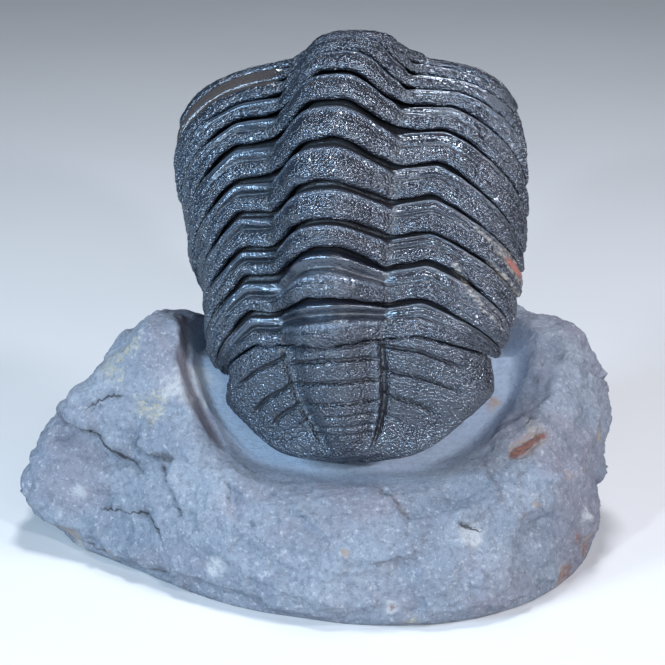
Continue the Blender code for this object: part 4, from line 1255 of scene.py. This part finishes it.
def stone_finish():
    """Blue-grey limestone: matt and speckled where it is broken, smoother and bluer in the trench."""
    settings = bpy.context.scene.fossil_stone
    f = Finish("limestone")
    trench, dark, chips = f.mark("trench"), f.mark("dark"), f.mark("chips")
    cloud = f.noise(7 * MM, 4.0, 0.6)
    mauve = f.ramp(f.noise(9 * MM, 3.0, place=f.shifted(0.04)), 0.45, 0.65)
    speck = f.noise(0.55 * MM, 5.0, 0.75)
    light = f.noise(0.5 * MM, 4.0, 0.7, place=f.shifted(0.02))
    tint = f.mix(f.ramp(cloud, 0.35, 0.65), tuple(settings.colour), tuple(settings.light_colour))
    tint = f.mix(mauve * 0.7, tint, tuple(settings.mauve_colour))
    tint = f.mix(trench * 0.8, tint, tuple(settings.trench_colour))
    tint = f.mix(f.ramp(speck, 0.42, 0.68) * (0.65 - 0.4 * trench), tint, tuple(settings.dark_colour))
    tint = f.mix(f.ramp(light, 0.53, 0.7) * (0.7 - 0.45 * trench), tint, SPECK_PALE)
    # Painted shade: darker where the chips cut small pits into the broken stone.
    tint = f.mix(f.ramp(chips, 0.5, 1.0) * 0.25, tint, tuple(settings.dark_colour))
    tint = f.mix(f.mark("yellow") * f.ramp(light, 0.4, 0.62) * 0.6, tint, STONE_YELLOW)
    tint = f.mix(f.mark("pale") * f.ramp(speck, 0.3, 0.6) * 0.7, tint, STONE_PALE)
    tint = f.mix(f.mark("wall") * 0.75, tint, WALL_DARK)
    # Painted shade: the groove along the right rim is darkened.
    tint = f.mix(f.mark("groove") * 0.35, tint, PAINTED_GROOVE_SHADE)
    tint = f.mix(f.mark("tan") * f.ramp(speck, 0.35, 0.6) * 0.7, tint, STONE_TAN)
    # Painted shade under the ledges and in the cracks.
    tint = f.mix(dark * 0.6, tint, PAINTED_HOLLOW_SHADE)
    off = f.mark("crack") + 0.5 * f.noise(0.6 * MM, 3.0) - 0.25
    off = f.node("ShaderNodeMath", {"operation": "ABSOLUTE"}, {0: off})
    line = (1 - f.ramp(off, 0.03, 0.2)) * f.mark("beside")
    tint = f.mix(line * 0.85, tint, CRACK_BLACK)
    red = f.mix(f.ramp(speck, 0.4, 0.6), RUST_LIGHT, RUST_DARK)
    tint = f.mix(f.mark("rust") * 0.9, tint, red)
    tint = f.mix(f.mark("red") * f.ramp(light, 0.35, 0.6) * 0.8, tint, red)
    f.set(Base_Color=tint, Roughness=0.6 + 0.25 * speck, Specular_IOR_Level=0.35)
    scratches = f.noise(0.25 * MM, 3.0, 0.6, place=f.stretched((0.25, 0.08, 1.0)))
    f.relief(
        (f.noise(1.4 * MM, 5.0, 0.7) * (1 - 0.6 * trench), 0.22 * MM),
        (f.noise(0.28 * MM, 4.0, 0.7) * (1 - 0.5 * trench), 0.14 * MM),
        (scratches * trench - line, 0.12 * MM),
    )
    return f.material


def floor_finish():
    """A pale matt table top with a faint tooth."""
    settings = bpy.context.scene.fossil_stage
    f = Finish("pale_table")
    tone = f.ramp(f.noise(60 * MM, 3.0), 0.2, 0.8)
    pale = tuple(settings.floor_colour)
    shade = (*(0.96 * part for part in pale[:3]), 1)
    f.set(Base_Color=f.mix(tone, pale, shade), Roughness=0.6)
    f.relief((f.noise(1.5 * MM, 2.0), 0.02 * MM))
    return f.material


def soft_light(name, place, target, size, power, colour):
    """A square area light that faces a point; places are in millimetres."""
    data = bpy.data.lights.new(name, "AREA")
    data.size = size * MM
    data.energy = power
    data.color = colour
    light = bpy.data.objects.new(name, data)
    light.location = Vector(place) * MM
    light.rotation_euler = (Vector(target) - Vector(place)).to_track_quat("-Z", "Y").to_euler()
    bpy.context.scene.collection.objects.link(light)


# The camera stands in front of the tail, 20 degrees above the table.
CAMERA_PLACE = (1.6, -220.4, 102.1)
CAMERA_TARGET = (1.6, 7.04, 19.34)
CAMERA_LENS = 124.5
SENSOR = 36.0
FLOOR_HALF = 1500.0
LIGHT_TARGET = (2.0, 0.0, 20.0)
LIGHTS = (
    ("left_window", (-230, -150, 170), 75, 0.8, (0.55, 0.78, 1.0)),
    ("right_window", (220, -90, 200), 45, 0.4, (0.95, 0.94, 1.0)),
    ("top_window", (10, 40, 300), 60, 0.58, (0.92, 0.95, 1.0)),
    ("front_card", (40, -320, 160), 120, 0.25, (0.97, 0.97, 1.0)),
    ("left_spark", (-130, -230, 130), 15, 0.36, (0.75, 0.9, 1.0)),
    ("right_spark", (130, -230, 140), 15, 0.36, (0.98, 0.96, 1.0)),
)


def make_stage():
    """Floor, camera, lights and a dim even room."""
    settings = bpy.context.scene.fossil_stage
    bm = bmesh.new()
    bmesh.ops.create_grid(bm, x_segments=8, y_segments=8, size=FLOOR_HALF * MM)
    mesh = bpy.data.meshes.new("table_top")
    bm.to_mesh(mesh)
    bm.free()
    floor = bpy.data.objects.new("table_top", mesh)
    bpy.context.scene.collection.objects.link(floor)
    mesh.materials.append(floor_finish())
    for name, place, size, power, colour in LIGHTS:
        soft_light(name, place, LIGHT_TARGET, size, power * settings.light, colour)
    world = bpy.data.worlds.new("room")
    world.use_nodes = True
    background = world.node_tree.nodes["Background"]
    background.inputs["Color"].default_value = tuple(settings.room_colour)
    background.inputs["Strength"].default_value = settings.room_light
    bpy.context.scene.world = world
    data = bpy.data.cameras.new("camera")
    data.lens = CAMERA_LENS
    data.sensor_width = SENSOR
    data.clip_start = 0.01
    data.clip_end = 10.0
    camera = bpy.data.objects.new("camera", data)
    camera.location = Vector(CAMERA_PLACE) * MM
    facing = Vector(CAMERA_TARGET) - Vector(CAMERA_PLACE)
    camera.rotation_euler = facing.to_track_quat("-Z", "Y").to_euler()
    bpy.context.scene.collection.objects.link(camera)
    bpy.context.scene.camera = camera
    bpy.context.scene.view_settings.view_transform = "Standard"


def colour_property(name, description, default):
    return bpy.props.FloatVectorProperty(
        name=name, description=description, default=(*default, 1.0), size=4, subtype="COLOR", min=0, max=1
    )


def length_property(name, description, default):
    """A length whose default is given in millimetres."""
    return bpy.props.FloatProperty(name=name, description=description, default=default * MM, unit="LENGTH")


def count_property(name, description, default, least):
    return bpy.props.IntProperty(name=name, description=description, default=default, min=least)


class ShellSettings(bpy.types.PropertyGroup):
    """Sizes and colours of the shell plates."""

    colour: colour_property("Shell colour", "Black of the shell", (0.01, 0.011, 0.018))
    # Painted light: the blue that the cold lamp casts on the shell's left side, in noisy patches.
    cold_light_tint: colour_property("Blue tint", "Colder patches of the shell", (0.01, 0.018, 0.031))
    brown_tint: colour_property("Brown tint", "Warmer patches of the shell", (0.018, 0.015, 0.014))
    roughness: bpy.props.FloatProperty(
        name="Roughness", description="Lowest roughness of the shell", default=0.14, min=0, max=1
    )
    grain_pitch: length_property("Grain pitch", "Distance from one grain to the next", 0.34)
    grain_height: length_property("Grain height", "Height of the grains", 0.11)
    swell_height: length_property("Swell height", "Height of the soft unevenness", 0.07)
    columns: count_property("Columns", "Mesh columns on each side", 206, 20)
    rows: count_property("Rows", "Mesh rows on top of a plate", 36, 8)


class StoneSettings(bpy.types.PropertyGroup):
    """Sizes and colours of the stone."""

    colour: colour_property("Stone colour", "Blue-grey of the stone", (0.165, 0.198, 0.255))
    light_colour: colour_property("Light colour", "Paler clouds in the stone", (0.225, 0.26, 0.315))
    # Used for dark specks at random, and as painted shade in the chipped pits.
    dark_colour: colour_property("Dark colour", "Darker specks and hollows", (0.09, 0.11, 0.15))
    trench_colour: colour_property("Trench colour", "Smooth cut stone", (0.31, 0.39, 0.51))
    mauve_colour: colour_property("Mauve colour", "Warmer patches of the stone", (0.19, 0.185, 0.23))
    break_height: length_property("Break height", "Height of the fine breaks", 0.09)
    face_height: length_property("Face height", "Height of the flat broken faces", 0.55)
    around: count_property("Around", "Mesh columns round the stone", 500, 24)
    rows: count_property("Rows", "Mesh rows from top to base", 160, 12)


class StageSettings(bpy.types.PropertyGroup):
    """The table, the room and the lights."""

    floor_colour: colour_property("Floor colour", "Colour of the table top", (0.62, 0.63, 0.65))
    room_colour: colour_property("Room colour", "Colour of the room's own light", (0.8, 0.87, 1.0))
    room_light: bpy.props.FloatProperty(name="Room light", description="Even light", default=0.08, min=0)
    light: bpy.props.FloatProperty(name="Light", description="Power of all lights", default=1.0, min=0)


class FOSSIL_OT_stone(bpy.types.Operator):
    """Makes the stone that holds the fossil and fills its arch"""

    bl_idname = "fossil.stone"
    bl_label = "Stone"

    def execute(self, context):
        stone = joined_stone()
        finish_stone(stone)
        hand_over(stone, "matrix", stone_finish())
        return {"FINISHED"}


class FOSSIL_OT_tail(bpy.types.Operator):
    """Makes the tail shield"""

    bl_idname = "fossil.tail"
    bl_label = "Tail shield"

    def execute(self, context):
        grow_tail(shell_finish("shell_tail"))
        return {"FINISHED"}


class FOSSIL_OT_thorax(bpy.types.Operator):
    """Makes the eleven hinged plates of the thorax"""

    bl_idname = "fossil.thorax"
    bl_label = "Thorax plates"

    def execute(self, context):
        finish = shell_finish("shell_thorax")
        for number in range(1, SEGMENTS + 1):
            grow_thorax_plate(number, finish)
        return {"FINISHED"}


class FOSSIL_OT_head(bpy.types.Operator):
    """Makes the head shield with its two eyes"""

    bl_idname = "fossil.head"
    bl_label = "Head shield"

    def execute(self, context):
        grow_head(shell_finish("shell_head"))
        return {"FINISHED"}


class FOSSIL_OT_stage(bpy.types.Operator):
    """Makes the table, the lights and the camera"""

    bl_idname = "fossil.stage"
    bl_label = "Stage"

    def execute(self, context):
        make_stage()
        return {"FINISHED"}


OPERATORS = (FOSSIL_OT_stone, FOSSIL_OT_tail, FOSSIL_OT_thorax, FOSSIL_OT_head, FOSSIL_OT_stage)
SETTINGS = {"fossil_shell": ShellSettings, "fossil_stone": StoneSettings, "fossil_stage": StageSettings}


class FOSSIL_PT_panel(bpy.types.Panel):
    """Lists the settings and what can be made with them"""

    bl_label = "Arched trilobite"
    bl_idname = "FOSSIL_PT_panel"
    bl_space_type = "VIEW_3D"
    bl_region_type = "UI"
    bl_category = "Fossil"

    def draw(self, context):
        for key, kind in SETTINGS.items():
            box = self.layout.box()
            for name in kind.__annotations__:
                box.prop(getattr(context.scene, key), name)
        for operator in OPERATORS:
            self.layout.operator(operator.bl_idname)


def register():
    for kind in (*SETTINGS.values(), *OPERATORS, FOSSIL_PT_panel):
        bpy.utils.register_class(kind)
    for key, kind in SETTINGS.items():
        setattr(bpy.types.Scene, key, bpy.props.PointerProperty(type=kind))


def unregister():
    for key in SETTINGS:
        delattr(bpy.types.Scene, key)
    for kind in reversed((*SETTINGS.values(), *OPERATORS, FOSSIL_PT_panel)):
        bpy.utils.unregister_class(kind)


def main():
    register()
    bpy.ops.fossil.stone()
    bpy.ops.fossil.tail()
    bpy.ops.fossil.thorax()
    bpy.ops.fossil.head()
    bpy.ops.fossil.stage()


if __name__ == "__main__":
    main()
